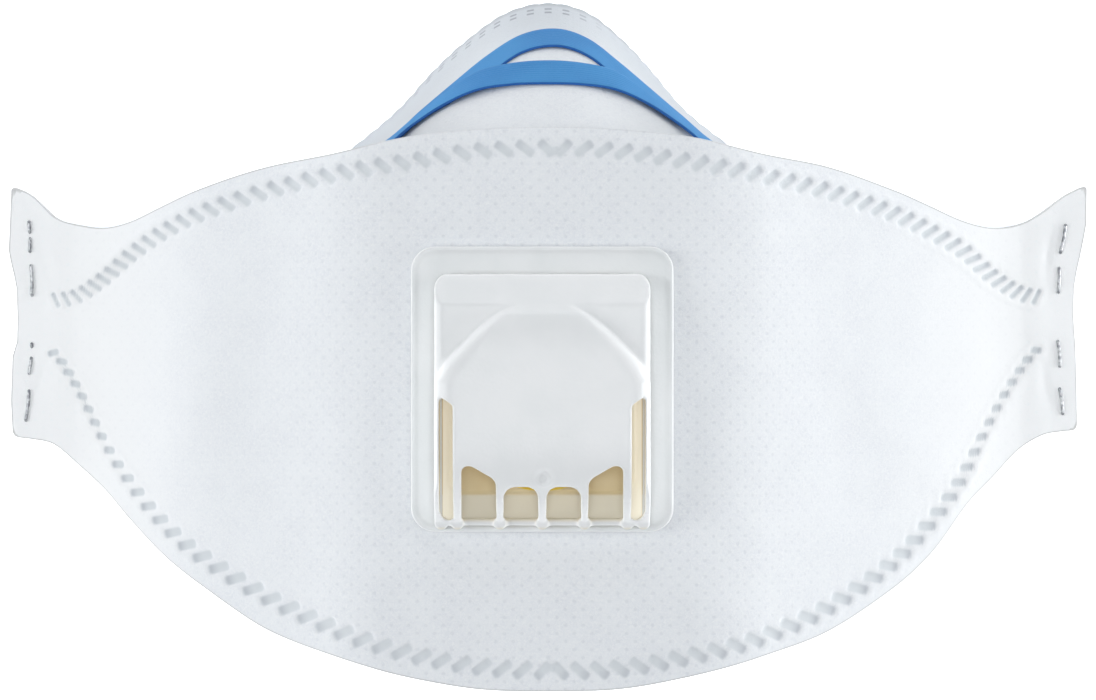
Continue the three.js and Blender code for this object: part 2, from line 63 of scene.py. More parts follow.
HALF_SPAN = 94.4
FRONT_HEIGHT = 48.0
TAB_HEIGHT = 4.6
FRONT_HALF_WIDTH = 23.0
TAB_START = 90.0
RAMP_IN = 0.22
RAMP_OUT = 0.2
CAMBER = 4.0
CAMBER_REACH = 25.0
CAMBER_START = 26.0
FRONT_MIDDLE_Y = -7.0

PANEL_WALL = 1.2
SIDE_WALL = 1.0
LAYER_GAP = 0.3
SIDE_BULGE = 3.0
SIDE_HOLLOW = -0.4
BULGE_FADE = 20.0
RIM_END = 86.5
NOSE_LEAN = 1.2
LEAN_END = 64.0

STRAP_THICKNESS = 0.5
STRAP_SLACK = 0.4
UPPER_STRAP_SHIFT = 1.5
SLACK_FROM = 12.0
SLACK_LENGTH = 40.0

WIRE_RADIUS = 0.29
STAPLE_SUNK = 1.2

VALVE_X = -0.96
VALVE_Y = -6.6
PLATE_WIDTH = 44.3
PLATE_HEIGHT = 48.1
PLATE_WALL = 1.6
PLATE_LIP = 0.75
COVER_HALF = 18.15
COVER_TOP = 19.6
COVER_BOTTOM = -23.2
COVER_SHOULDER = 5.4
COVER_CROWN = 9.2
COVER_WALL = 1.1
SEAT_Y = -2.1
SEAT_INNER = 12.2
SEAT_OUTER = 13.8
SEAT_RISE = 1.4
CROSS_HALF = 0.7
FLAP_RADIUS = 15.0
FLAP_THICKNESS = 0.8
PORT_RADIUS = 14.3
PLATE_LOW = FRONT_HEIGHT + LAYER_GAP
PLATE_TOP = PLATE_LOW + PLATE_WALL

# Borders and weld lines of the centre panel, a row for each distance x from the middle, and how far
# the left half's lines lie above the right half's.
BORDERS = table(
    "x top top_weld low_weld low",
    (0, 37.8, 34.2, -54.4, -57.9),
    (12, 37.4, 33.65, -54.0, -57.5),
    (24, 36.1, 31.85, -51.95, -55.4),
    (36, 33.5, 29.7, -49.0, -52.3),
    (48, 31.4, 27.2, -44.15, -48.3),
    (60, 27.7, 23.55, -36.5, -41.1),
    (67, 24.9, 20.45, -29.5, -35.2),
    (73, 22.5, 17.1, -21.3, -27.3),
    (78, 21.5, 13.0, -11.9, -22.5),
    (83, 22.1, 10.05, -3.8, -17.5),
    (87, 24.2, 9.3, 0.6, -15.1),
    (91, 27.3, 9.3, 0.6, -14.4),
    (HALF_SPAN, 29.2, 9.3, 0.6, -14.2),
)
LEFT_HALF = table(
    "x top top_weld low_weld low",
    (0, 0, 0, 0, 0),
    (12, 0, 0, 0.4, 0),
    (24, 0, -0.05, 0.6, 0),
    (36, 0, 0.2, 1.5, 0.1),
    (48, 0, 0.05, 1.8, 0.3),
    (60, 0, -0.2, 1.4, 0.9),
    (67, 0, -0.3, 0, 0.1),
    (73, 0, -0.55, -1.7, -2.2),
    (78, 0, -0.4, -4.1, -1.8),
    (83, 0, -0.55, -2.7, -2.5),
    (87, -0.7, -0.5, -1.2, -1.6),
    (91, 0, -0.6, -1.1, -1.35),
    (HALF_SPAN, -0.2, -0.6, -1.1, -1.2),
)

# Free rims of the side walls: where the wall that starts at x on the weld line ends.
UPPER_RIM = table(
    "x rim_x rim_y rim_z",
    (0, 0, 61.0, 0),
    (8, 7.1, 59.3, 0),
    (16, 13.7, 54.4, 0),
    (24, 19.2, 48.9, 0),
    (32, 25.0, 42.3, 0),
    (40, 32.4, 36.2, 0),
    (48, 40.8, 30.3, 0),
    (56, 50.0, 25.2, 0),
    (63, 59.0, 21.6, 0.6),
    (70, 68.0, 18.2, 3.5),
    (76, 75.4, 15.0, 3.7),
    (82, 82.0, 11.2, 3.0),
    (87, 87.0, 9.2, 2.45),
)
LOWER_RIM = table(
    "x rim_x rim_y rim_z",
    (0, 0, -50.0, 0),
    (16, 13.6, -48.7, 0),
    (32, 28.0, -45.1, 0),
    (48, 44.5, -37.7, 0),
    (64, 62.5, -24.9, 0),
    (72, 71.5, -16.0, 0.6),
    (78, 77.6, -8.7, 2.2),
    (83, 83.0, -4.2, 2.5),
    (87, 87.0, -1.6, 2.45),
)

# How far the cut edge of each tab stands out past the span, at each height along it.
TAB_EDGE = table(
    "y left right",
    (-16, 0.1, -0.9),
    (-9, 0.5, -1.0),
    (-1, 0.2, -1.2),
    (1.5, -0.6, -1.3),
    (6, -0.7, -1.6),
    (11, -0.5, -1.5),
    (14, 0.1, -1.0),
    (17, 0.9, -0.3),
    (22, 0.7, 0.7),
    (29, 0.4, 0.8),
)
TAB_EDGE_REACH = 9.0

# Weld marks: their pitch along the weld, length, width, and lean from the weld's direction.
UPPER_MARKS = table(
    "x pitch length width lean",
    (0, 3.4, 3.2, 1.5, 50),
    (4.6, 3.6, 3.6, 1.5, 38),
    (22, 3.4, 3.4, 1.55, 47),
    (45, 3.05, 3.4, 1.4, 51),
    (60, 2.7, 3.45, 1.2, 56),
    (72, 2.35, 3.4, 1.1, 62),
    (80, 1.95, 3.2, 1.0, 66),
    (87, 1.85, 2.9, 0.75, 70),
)
LOWER_MARKS = table(
    "x pitch length width lean",
    (0, 3.3, 3.3, 1.6, 50),
    (4.8, 3.5, 3.8, 1.6, 43),
    (45, 3.5, 3.7, 1.7, 45),
    (62, 3.4, 3.5, 1.65, 49),
    (71, 3.25, 3.0, 1.4, 56),
    (77, 3.0, 2.1, 1.35, 55),
    (83, 2.5, 1.9, 1.25, 50),
    (87, 2.2, 2.0, 1.15, 45),
)
# The middle of each weld's pattern, where its first mark stands beyond that, where the last mark of
# the left and the right half stands, and the number of marks on a half.
UPPER_PATTERN = (1.2, 1.5, (88.0, 84.9), 34)
LOWER_PATTERN = (0.6, 1.5, (87.8, 85.5), 35)
MARK_DEPTH = 0.36

# Headbands on the upper panel: the shares of the wall that they cover, and how far they stand off it.
UPPER_STRAP_ROWS = table(
    "x near far off",
    (0, 0.575, 0.715, 0.85),
    (6, 0.54, 0.685, 0.85),
    (12, 0.435, 0.605, 0.82),
    (18, 0.362, 0.515, 0.8),
    (24, 0.315, 0.41, 0.85),
    (30, 0.165, 0.25, 1.0),
    (40, 0.1, 0.24, 1.4),
    (50, 0.18, 0.39, 1.9),
    (60, 0.26, 0.55, 2.4),
)
LOWER_STRAP_ROWS = table(
    "x near far off",
    (0, 0.325, 0.466, 0.95),
    (6, 0.334, 0.472, 1.0),
    (12, 0.345, 0.48, 1.35),
    (18, 0.335, 0.43, 1.35),
    (24, 0.265, 0.33, 1.4),
    (30, 0.09, 0.18, 1.6),
    (40, 0.24, 0.4, 2.0),
    (50, 0.4, 0.61, 1.4),
    (60, 0.52, 0.82, 1.3),
)
UPPER_STRAP_END = [
    ((66.4, 24.0, 12.4), (65.8, 23.7, 5.2)),
    ((71.3, 22.8, 9.4), (72.2, 22.3, 2.7)),
    ((76.5, 21.3, 6.3), (78.2, 18.7, 1.3)),
    ((82.5, 20.4, 2.8), (83.5, 14.0, 1.3)),
    ((88.0, 19.4, 1.3), (88.0, 12.6, 1.3)),
    ((92.6, 19.4, 1.3), (92.6, 12.6, 1.3)),
]
LOWER_STRAP_END = [
    ((65.2, 22.1, 8.0), (64.8, 21.8, 1.4)),
    ((71.4, 20.7, 3.1), (70.2, 15.6, 1.2)),
    ((76.5, 17.4, 1.7), (73.4, 11.2, 1.2)),
    ((82.5, 9.6, 1.4), (78.0, 4.4, 1.3)),
    ((87.6, 1.4, 1.3), (83.0, -4.4, 1.3)),
    ((91.0, -2.3, 1.3), (89.0, -9.1, 1.3)),
    ((92.4, -2.3, 1.3), (92.4, -9.1, 1.3)),
]

# How far each staple lies off its node's middle, the length of its crown, its lean in degrees, and
# the stretch of the crown that is pulled under the cloth.
STAPLES = {
    "staple_left_1": ((-0.15, 0), 5.8, 2, (0.45, 0.62)),
    "staple_left_2": ((-0.3, 0), 5.8, 1, None),
    "staple_left_3": ((-0.65, 0), 5.8, -5, (0.5, 0.86)),
    "staple_left_4": ((-0.9, 0), 5.8, -6, None),
    "staple_right_1": ((-0.5, -0.4), 5.5, -11, None),
    "staple_right_2": ((-0.75, 0), 4.9, -2, None),
    "staple_right_3": ((-0.5, 0.85), 5.0, 5, None),
    "staple_right_4": ((-0.4, 0.75), 5.0, 7, None),
}

CENTRE_COLUMNS = 440
SIDE_COLUMNS = 400
TAB_CORNER = 1.8                # where the columns close up towards a tab's cut edge
LAST_COLUMN = 0.02
WELD_REACH = 2.3                # half height of the fine rows along a weld
STRIP_INSET = 0.35              # how far a side panel's strip stays behind the centre panel's border
SCALLOP = 0.16                  # waves of the rims' cut edge


# ---- curves and surfaces --------------------------------------------------------------------------


def curve(rows, name):
    """A smooth function of |x| through one column of a table, level in the middle of the mask."""
    place, value = rows["x"], rows[name]
    slope = np.empty(len(place))
    slope[1:-1] = (value[2:] - value[:-2]) / (place[2:] - place[:-2])
    slope[-1] = (value[-1] - value[-2]) / (place[-1] - place[-2])
    slope[0] = 1 if name == "rim_x" else 0

    def at(x):
        inside = np.minimum(np.abs(x), place[-1])
        row = np.clip(np.searchsorted(place, inside) - 1, 0, len(place) - 2)
        width = place[row + 1] - place[row]
        t = (inside - place[row]) / width
        rise = value[row + 1] - value[row]
        bend = (slope[row] * width - rise) * (1 - t) - (slope[row + 1] * width - rise) * t
        return value[row] + rise * t + bend * t * (1 - t)

    return at


def smoothstep(low, high, value):
    t = np.clip((value - low) / (high - low), 0, 1)
    return t * t * (3 - 2 * t)


def unit(vectors):
    return vectors / np.linalg.norm(vectors, axis=-1, keepdims=True)


def stack(x, y, z):
    return np.stack(np.broadcast_arrays(np.asarray(x, float), y, z), axis=-1)


def border(name):
    """A border or weld line of the centre panel, with its left half's own run."""
    both, left = curve(BORDERS, name), curve(LEFT_HALF, name)
    return lambda x: both(x) + np.where(np.asarray(x) < 0, left(x), 0)


top_line = border("top")
top_weld = border("top_weld")
low_weld = border("low_weld")
low_line = border("low")


def arch_share(x):
    """Share of the arch's height that is left at x: an even slope with a smooth turn at each end."""
    run = np.clip((np.abs(x) - FRONT_HALF_WIDTH) / (TAB_START - FRONT_HALF_WIDTH), 0, 1)
    slope = 1 / (1 - (RAMP_IN + RAMP_OUT) / 2)
    turning_down = 1 - slope * run**2 / (2 * RAMP_IN)
    straight = 1 - slope * (run - RAMP_IN / 2)
    turning_flat = slope * (1 - run) ** 2 / (2 * RAMP_OUT)
    return np.where(run < RAMP_IN, turning_down, np.where(run < 1 - RAMP_OUT, straight, turning_flat))


def front_height(x, y):
    past = np.maximum(0, np.abs(y - FRONT_MIDDLE_Y) - CAMBER_START) / CAMBER_REACH
    return TAB_HEIGHT + (FRONT_HEIGHT - TAB_HEIGHT - CAMBER * past**2) * arch_share(x)


def front_point(x, y, depth):
    """Points of the front, or of a layer that lies the given depth behind it."""
    step = 0.2
    slope_x = (front_height(x + step, y) - front_height(x - step, y)) / (2 * step)
    slope_y = (front_height(x, y + step) - front_height(x, y - step)) / (2 * step)
    normal = unit(stack(-slope_x, -slope_y, 1))
    depth = np.asarray(depth, float)[..., None] if np.ndim(depth) else depth
    return stack(x, y, front_height(x, y)) - normal * depth


class Side:
    """A side wall: its weld line, cut edge and rim, and how it swells."""

    def __init__(self, weld, edge, rim, way, lift, lean, swollen):
        self.weld, self.edge, self.way = weld, edge, way
        self.lift, self.lean, self.swollen = lift, lean, swollen
        self.rim_x, self.rim_y, self.rim_z = (curve(rim, name) for name in ("rim_x", "rim_y", "rim_z"))

    def rim(self, x):
        lean = self.lean * np.sin(np.pi * np.clip(np.abs(x) / LEAN_END, 0, 1)) ** 2
        return stack(np.sign(x) * self.rim_x(x) - lean, self.rim_y(x), np.maximum(0, self.rim_z(x)))

    def middle(self, x, share):
        """The middle of the wall's cloth: x picks the ruling, share runs from the weld to the rim."""
        root = front_point(x, self.weld(x), PANEL_WALL + LAYER_GAP + SIDE_WALL / 2)
        fade = np.clip((RIM_END - np.abs(x)) / BULGE_FADE, 0, 1)
        fullness = np.maximum(SIDE_HOLLOW, 1 - (x / self.swollen) ** 2)
        swell = SIDE_BULGE * fade * fullness * np.sin(np.pi * share)
        way = unit(np.array((0.0, self.way, self.lift)))
        share = np.asarray(share, float)[..., None] if np.ndim(share) else share
        return root + (self.rim(x) - root) * share + way * np.asarray(swell)[..., None]

    def normal(self, x, share):
        along = self.middle(x + 0.3, share) - self.middle(x - 0.3, share)
        down = self.middle(x, np.minimum(1, share + 0.02)) - self.middle(x, np.maximum(0, share - 0.02))
        return unit(np.cross(along, down)) * self.way


UPPER = Side(top_weld, top_line, UPPER_RIM, way=1, lift=0.5, lean=NOSE_LEAN, swollen=34)
LOWER = Side(low_weld, low_line, LOWER_RIM, way=-1, lift=0, lean=0, swollen=RIM_END)

# The tables' y is from the middle of the front; the frame's from the middle of the whole mask.
SHIFT_Y = -(BORDERS["low"][0] + UPPER_RIM["rim_y"][0] + SIDE_WALL / 2) / 2

arch_x = np.linspace(0, HALF_SPAN + 2, 400)
arch_step = np.hypot(np.diff(arch_x), np.diff(front_height(arch_x, 0)))
arch_s = np.concatenate([[0], np.cumsum(arch_step)])


def arch_length(x):
    """Length of cloth between the middle and x."""
    return np.sign(x) * np.interp(np.abs(x), arch_x, arch_s)


# ---- weld marks -------------------------------------------------------------------------------------


def mark_places(weld, rows, pattern, outward):
    """(x, y, the way its axis points, half length, half width) of each mark, on both halves."""
    middle, first, lasts, count = pattern
    places = []
    for hand, last in zip((-1, 1), lasts):
        out = np.linspace(first, last, 700)
        x = middle + hand * out
        run = np.hypot(np.diff(x), np.diff(weld(x)))
        beats = np.concatenate([[0], np.cumsum(run / np.interp(out[1:], rows["x"], rows["pitch"]))])
        for here in np.interp(np.linspace(0, beats[-1], count), beats, out):
            at = middle + hand * here
            length, width, lean = (np.interp(here, rows["x"], rows[n]) for n in ("length", "width", "lean"))
            along = math.atan2(float(weld(at + hand * 0.2) - weld(at - hand * 0.2)), hand * 0.4)
            turn = along + hand * outward * math.radians(lean)
            places.append((at, float(weld(at)), turn, length / 2, width / 2))
    # A level mark joins the inner ends of the two in the middle.
    places.append((middle, float(weld(middle)) - outward * 0.5, 0.0, 1.5, 0.7))
    return places


def mark_distance(x, y, places):
    """Plan distance from each point to the nearest mark, negative inside it, and the share of that
    mark's length at which the point lies, from its inner end."""
    nearest = np.full(np.shape(x), 9.0)
    share = np.zeros(np.shape(x))
    for px, py, turn, half_length, half_width in places:
        close = (np.abs(x - px) < 5) & (np.abs(y - py) < 5)
        dx, dy = x[close] - px, y[close] - py
        along = dx * math.cos(turn) + dy * math.sin(turn)
        across = dy * math.cos(turn) - dx * math.sin(turn)
        corner = half_width * 0.6
        end = np.abs(along) - half_length + corner
        side = np.abs(across) - half_width + corner
        outside = np.hypot(np.maximum(side, 0), np.maximum(end, 0))
        distance = outside + np.minimum(np.maximum(side, end), 0) - corner
        better = distance < nearest[close]
        nearest[close] = np.where(better, distance, nearest[close])
        share[close] = np.where(better, along / half_length * 0.5 + 0.5, share[close])
    return nearest, share


UPPER_PLACES = mark_places(top_weld, UPPER_MARKS, UPPER_PATTERN, 1)
LOWER_PLACES = mark_places(low_weld, LOWER_MARKS, LOWER_PATTERN, -1)


def weld_distance(x, y):
    """Distance to the nearest mark of either weld, and the share of its length."""
    upper_gap, upper_share = mark_distance(x, y, UPPER_PLACES)
    lower_gap, lower_share = mark_distance(x, y, LOWER_PLACES)
    return np.minimum(upper_gap, lower_gap), np.where(upper_gap < lower_gap, upper_share, lower_share)


# Soft folds and dents of the front: middle, half length, half width, direction in degrees, and height.
FOLDS = table(
    "x y long wide turn lift",
    (-60, -6, 44, 10, 90, 1.9),
    (-88.2, 15.2, 2.4, 0.75, -68, -0.8),
    (-89.4, -5.2, 1.9, 0.75, 62, -0.7),
    (88.4, 16.8, 3.0, 0.75, 80, -0.7),
    (88.0, -6.0, 2.8, 0.75, -72, -0.7),
    (-40, 10, 16, 5, 82, 0.25),
    (-52, -8, 20, 6, 70, -0.3),
    (-31, -32, 14, 6, 40, -0.25),
    (37, 12, 16, 6, -80, 0.25),
    (49, -10, 18, 6, -75, -0.25),
    (34, -36, 14, 5, -38, -0.2),
    (-66, -20, 14, 4, 50, 0.25),
    (66, -20, 14, 4, -52, 0.25),
    (-74, 4, 10, 4, 10, -0.2),
    (74, 3, 10, 4, -12, -0.2),
)


def cloth_lift(x, y):
    """Height that the front's cloth has over its smooth form: folds, and a fine unevenness."""
    lift = np.zeros(np.shape(x))
    for fx, fy, long, wide, turn, height in zip(*(FOLDS[name] for name in "x y long wide turn lift".split())):
        angle = math.radians(turn)
        along = (x - fx) * math.cos(angle) + (y - fy) * math.sin(angle)
        across = (y - fy) * math.cos(angle) - (x - fx) * math.sin(angle)
        lift += height * np.exp(-((along / long) ** 2) - (across / wide) ** 2)
    ripple = np.sin(x * 0.31 + 1.3 * np.sin(y * 0.17)) * np.sin(y * 0.23 + 0.9 * np.sin(x * 0.11 + 2))
    beside_valve = np.maximum(np.abs(x - VALVE_X) - PLATE_WIDTH / 2, np.abs(y - VALVE_Y) - PLATE_HEIGHT / 2)
    calm = smoothstep(-1, 6, beside_valve)
    tilt = -0.13 * (np.abs(x) - 90.8) * smoothstep(83, 88, np.abs(x))
    return (lift + 0.1 * ripple) * calm - 0.1 * (1 - calm) + tilt


def mark_lift(distance):
    """The weld presses the cloth down, and it swells beside each mark."""
    pressed = -MARK_DEPTH * (1 - smoothstep(-0.35, 0.25, distance))
    swollen = 0.12 * np.exp(-(((distance - 0.7) / 0.45) ** 2))
    return pressed + swollen


def tab_edge(points):
    """Moves the points near a tab's cut edge out or in, as the edge runs."""
    x, y = points[..., 0], points[..., 1]
    near = np.clip((np.abs(x) - (HALF_SPAN - TAB_EDGE_REACH)) / TAB_EDGE_REACH, 0, 1) ** 2
    left = np.interp(y, TAB_EDGE["y"], TAB_EDGE["left"])
    right = np.interp(y, TAB_EDGE["y"], TAB_EDGE["right"])
    points[..., 0] = x + near * np.where(x < 0, -left, right)
    return points


# ---- meshes -----------------------------------------------------------------------------------------


def grid_faces(columns, rows, first=0):
    """Faces of a grid of points that are numbered down each column in turn."""
    i, j = np.meshgrid(np.arange(columns - 1), np.arange(rows - 1), indexing="ij")
    a = first + i * rows + j
    return np.stack([a, a + rows, a + rows + 1, a + 1], axis=-1).reshape(-1, 4)


def new_piece(name, points, faces):
    """A piece in the frame's place and metres, from points in the tables' millimetres."""
    points = np.asarray(points, float).reshape(-1, 3) + (0, SHIFT_Y, 0)
    mesh = bpy.data.meshes.new(name)
    mesh.from_pydata((points * MM).tolist(), [], [list(map(int, face)) for face in faces])
    mesh.validate()
    piece = bpy.data.objects.new(name, mesh)
    bpy.context.scene.collection.objects.link(piece)
    return piece


def set_value(piece, name, values):
    attribute = piece.data.attributes.new(name, "FLOAT", "POINT")
    attribute.data.foreach_set("value", np.asarray(values, np.float32).ravel())


def set_uv(piece, name, u, v):
    layer = piece.data.uv_layers.new(name=name)
    corner = np.empty(len(piece.data.loops), int)
    piece.data.loops.foreach_get("vertex_index", corner)
    uv = np.stack([np.ravel(u), np.ravel(v)], axis=-1)[corner]
    layer.data.foreach_set("uv", uv.astype(np.float32).ravel())


def make_active(piece):
    bpy.ops.object.select_all(action="DESELECT")
    piece.select_set(True)
    bpy.context.view_layer.objects.active = piece


def apply_modifier(piece, kind, **settings):
    modifier = piece.modifiers.new(kind, kind)
    for name, value in settings.items():
        setattr(modifier, name, value)
    make_active(piece)
    bpy.ops.object.modifier_apply(modifier=modifier.name)


def face_outwards(piece):
    make_active(piece)
    bpy.ops.object.mode_set(mode="EDIT")
    bpy.ops.mesh.select_all(action="SELECT")
    bpy.ops.mesh.normals_make_consistent(inside=False)
    bpy.ops.object.mode_set(mode="OBJECT")


def smooth_shade(piece, degrees=50):
    make_active(piece)
    bpy.ops.object.shade_smooth_by_angle(angle=math.radians(degrees))


# ---- materials --------------------------------------------------------------------------------------


def linear(hex_colour):
    """Linear RGBA of an sRGB hex colour."""
    parts = [int(hex_colour[i : i + 2], 16) / 255 for i in (1, 3, 5)]
    return [c / 12.92 if c <= 0.04045 else ((c + 0.055) / 1.055) ** 2.4 for c in parts] + [1]


def add(tree, kind, inputs=(), out=0, **settings):
    """Adds a node with its settings, and with values or links on its inputs, and gives one of its
    outputs."""
    made = tree.nodes.new("ShaderNode" + kind)
    for name, value in settings.items():
        setattr(made, name, value)
    for name, value in inputs.items() if isinstance(inputs, dict) else enumerate(inputs):
        if isinstance(value, bpy.types.NodeSocket):
            tree.links.new(value, made.inputs[name])
        else:
            made.inputs[name].default_value = value
    return made.outputs[out]


def new_material(name, **values):
    """A material whose plain values are set on its surface's own sockets, and what adds its nodes."""
    material = bpy.data.materials.new(name)
    material.use_nodes = True
    surface = material.node_tree.nodes["Principled BSDF"]
    for socket, value in values.items():
        surface.inputs[socket.replace("_", " ")].default_value = value
    return material, partial(add, material.node_tree)


def link(material, **varying):
    """Links what varies over the surface to its sockets, and gives the material back."""
    tree = material.node_tree
    for socket, output in varying.items():
        tree.links.new(output, tree.nodes["Principled BSDF"].inputs[socket.replace("_", " ")])
    return material


def paint(node, base, *coats):
    """A colour with further colours laid over it, each with its own share of cover."""
    base = linear(base) if isinstance(base, str) else base
    for share, coat in coats:
        coat = linear(coat) if isinstance(coat, str) else coat
        base = node("Mix", {0: share, 6: base, 7: coat}, 2, data_type="RGBA")
    return base


# Settings that many nodes share.
SMOOTH = {"interpolation_type": "SMOOTHSTEP"}
TIMES = {"operation": "MULTIPLY"}
TIMES_PLUS = {"operation": "MULTIPLY_ADD"}
MINUS = {"operation": "SUBTRACT"}
ABSOLUTE = {"operation": "ABSOLUTE"}
IN_PLANE = {"noise_dimensions": "2D"}

BOND_PITCH = (2.95, 2.74)       # staggered rows of bond points
RIM_PITCH = 3.05                # embossed marks along the nose rim
RIM_MARK_ROW = 1.55             # from the rim to the middle of a pair of marks
RIM_MARK_PAIR = 0.36            # from that middle to each mark of the pair
RIM_DOT_ROW = 14.3              # from the rim to the second row, of small dots


def cloth_material(name, rim_marks=False, painted_shade=0.0):
    """Spunbond polypropylene, point-bonded by a hot roller: a matt, faintly fuzzy white felt of fine
    fibres with staggered pinpoint dents. Where it is welded it has fused to a greyer, smoother film."""
    material, node = new_material(
        name, Roughness=0.88, Sheen_Weight=0.12, Sheen_Roughness=0.45, Specular_IOR_Level=0.3
    )
    cloth = node("UVMap", uv_map="cloth")
    weld = node("Attribute", out="Fac", attribute_name="weld")
    share = node("Attribute", out="Fac", attribute_name="weld_share")
    edge = node("Attribute", out="Fac", attribute_name="edge")
    from_middle = node("Math", (node("SeparateXYZ", (cloth,)),), **ABSOLUTE)
    up = node("SeparateXYZ", (cloth,), "Y")

    # Staggered bond points: a square lattice turned 45 degrees and stretched to the two pitches.
    stretch = [math.sqrt(2) / pitch for pitch in BOND_PITCH]
    lattice = node("Mapping", {"Vector": cloth, "Rotation": (0, 0, math.radians(45)), "Scale": (*stretch, 1)})
    cell = node("TexVoronoi", {"Vector": lattice, "Scale": 1.0, "Randomness": 0.0}, "Distance",
                voronoi_dimensions="2D")
    flat = node("MapRange", (from_middle, 62.0, 24.0), **SMOOTH)
    point = node("MapRange", (cell, 0.22, 0.08), **SMOOTH)
    point = node("Math", (point, node("Math", (flat, 0.75, 0.25), **TIMES_PLUS)), **TIMES)

    # Fibres are finer than a render shows, so their mat is drawn at about 0.4 mm.
    mat = node("TexNoise", {"Vector": cloth, "Scale": 2.4, "Detail": 5.0, "Roughness": 0.7, "Distortion": 0.8},
               **IN_PLANE)
    cloud = node("TexNoise", {"Vector": cloth, "Scale": 0.16, "Detail": 3.0, "Roughness": 0.6}, **IN_PLANE)

    # Painted light: the cloth is whitened from about 60 mm out to the tabs, where side light falls on the
    # outer slopes.
    painted_side_light = node("MapRange", (from_middle, 60.0, 98.0), **SMOOTH)
    fused = node("MapRange", (weld, 0.26, -0.28), **SMOOTH)
    fused = node("Math", (fused, node("Math", (flat, -0.22, 1.0), **TIMES_PLUS)), **TIMES)
    film = paint(node, "#dadfe2", (node("MapRange", (share, 0.45, 1.0), **SMOOTH), "#c8cdd2"))

    # Painted shade along the cut edge: a thin grey line, less so along the nose, where pale cloth lies behind
    # it.
    narrow = node("MapRange", (from_middle, 36.0, 26.0), **SMOOTH)
    upper = node("MapRange", (up, 0.0, 10.0), **SMOOTH)
    before_nose = node("Math", (narrow, upper), **TIMES)
    cut = node("MapRange", (edge, 0.34, 0.1), **SMOOTH)
    cut = node("Math", (cut, node("Math", (before_nose, -0.45, 0.6), **TIMES_PLUS)), **TIMES)
    base = paint(
        node,
        "#e7eaee",
        (node("MapRange", (cloud, 0.3, 0.7), **SMOOTH), "#ebeef1"),
        (node("MapRange", (mat, 0.3, 0.75), **SMOOTH), "#f3f5f6"),
        (node("Math", (painted_side_light, 0.9), **TIMES), "#fbfcfc"),
        # painted shade over the whole panel, for a panel that lies in shade
        (painted_shade, "#c3c8ce"),
        (node("Math", (point, 0.06 if rim_marks else 0.16), **TIMES), "#b8bdc6"),
        (fused, film),
        (cut, "#b9b8b6"),
    )
    height = node("Math", (mat, 0.1, node("Math", (point, -0.05), **TIMES)), **TIMES_PLUS)
    if rim_marks:
        base, height = embossed_rim(node, from_middle, base, height)

    # Painted light: a faint glow where the cloth lies low, towards the tabs, stands in for the floor's light
    # coming through it.
    low = node("MapRange", (from_middle, 84.0, 104.0), **SMOOTH)
    return link(
        material,
        Base_Color=base,
        Emission_Color=base,
        Emission_Strength=node("Math", (low, 0.055), **TIMES),
        Normal=node("Bump", {"Strength": 0.55, "Distance": 0.001, "Height": height}),
        Roughness=node("Math", (fused, -0.3, 0.88), **TIMES_PLUS),
    )


def embossed_rim(node, from_middle, base, height):
    """The nose rim's colour and height: pairs of short marks that fade out towards the sides, and a
    row of small dots further in. Painted shade greys the cloth on its flanks, towards the rim, and most along
    the rim's edge."""
    rim = node("UVMap", uv_map="rim")
    run = node("SeparateXYZ", (rim,))
    depth = node("SeparateXYZ", (rim,), "Y")
    beat = node("Math", (node("Math", (run, RIM_PITCH), operation="DIVIDE"), 0.5), operation="PINGPONG")
    length = node("Math", (beat, RIM_PITCH), **TIMES)

    offset = node("Math", (node("Math", (depth, RIM_MARK_ROW), **MINUS),), **ABSOLUTE)
    ring = node("Math", (node("Math", (offset, RIM_MARK_PAIR), **MINUS),), **ABSOLUTE)
    dash = node("MapRange", (length, 0.68, 0.48), **SMOOTH)
    dash = node("Math", (dash, node("MapRange", (ring, 0.24, 0.08), **SMOOTH)), **TIMES)
    right_fade = node("MapRange", (run, 12.0, 2.0), **SMOOTH)
    left_fade = node("MapRange", (run, -38.0, -24.0), **SMOOTH)
    strength = node("Math", (node("Math", (right_fade, left_fade), **TIMES), 0.75, 0.1), **TIMES_PLUS)
    dash = node("Math", (dash, strength), **TIMES)

    away = node("Math", (node("Math", (depth, RIM_DOT_ROW), **MINUS),), **ABSOLUTE)
    dots = node("MapRange", (length, 0.5, 0.2), **SMOOTH)
    dots = node("Math", (dots, node("MapRange", (away, 0.45, 0.15), **SMOOTH)), **TIMES)
    near_middle = node("MapRange", (node("Math", (run,), **ABSOLUTE), 11.0, 8.0), **SMOOTH)
    dots = node("Math", (dots, near_middle), **TIMES)
    marks = node("Math", (dash, node("Math", (dots, 0.35), **TIMES)), operation="MAXIMUM")

    # Painted shade: greyer on the flanks and towards the rim, and darkest along the rim's edge.
    flanks = node("MapRange", (from_middle, 6.0, 30.0), **SMOOTH)
    base = paint(
        node,
        base,
        (node("Math", (flanks, 0.6, 0.15), **TIMES_PLUS), "#b9bcbf"),
        (node("Math", (node("MapRange", (depth, 13.0, 0.5), **SMOOTH), 0.75), **TIMES), "#c2c8ce"),
        (node("Math", (node("MapRange", (depth, 1.0, 0.1), **SMOOTH), 0.7), **TIMES), "#aeb2b8"),
        (marks, "#9a9fa8"),
    )
    return base, node("Math", (marks, -0.2, height), **TIMES_PLUS)


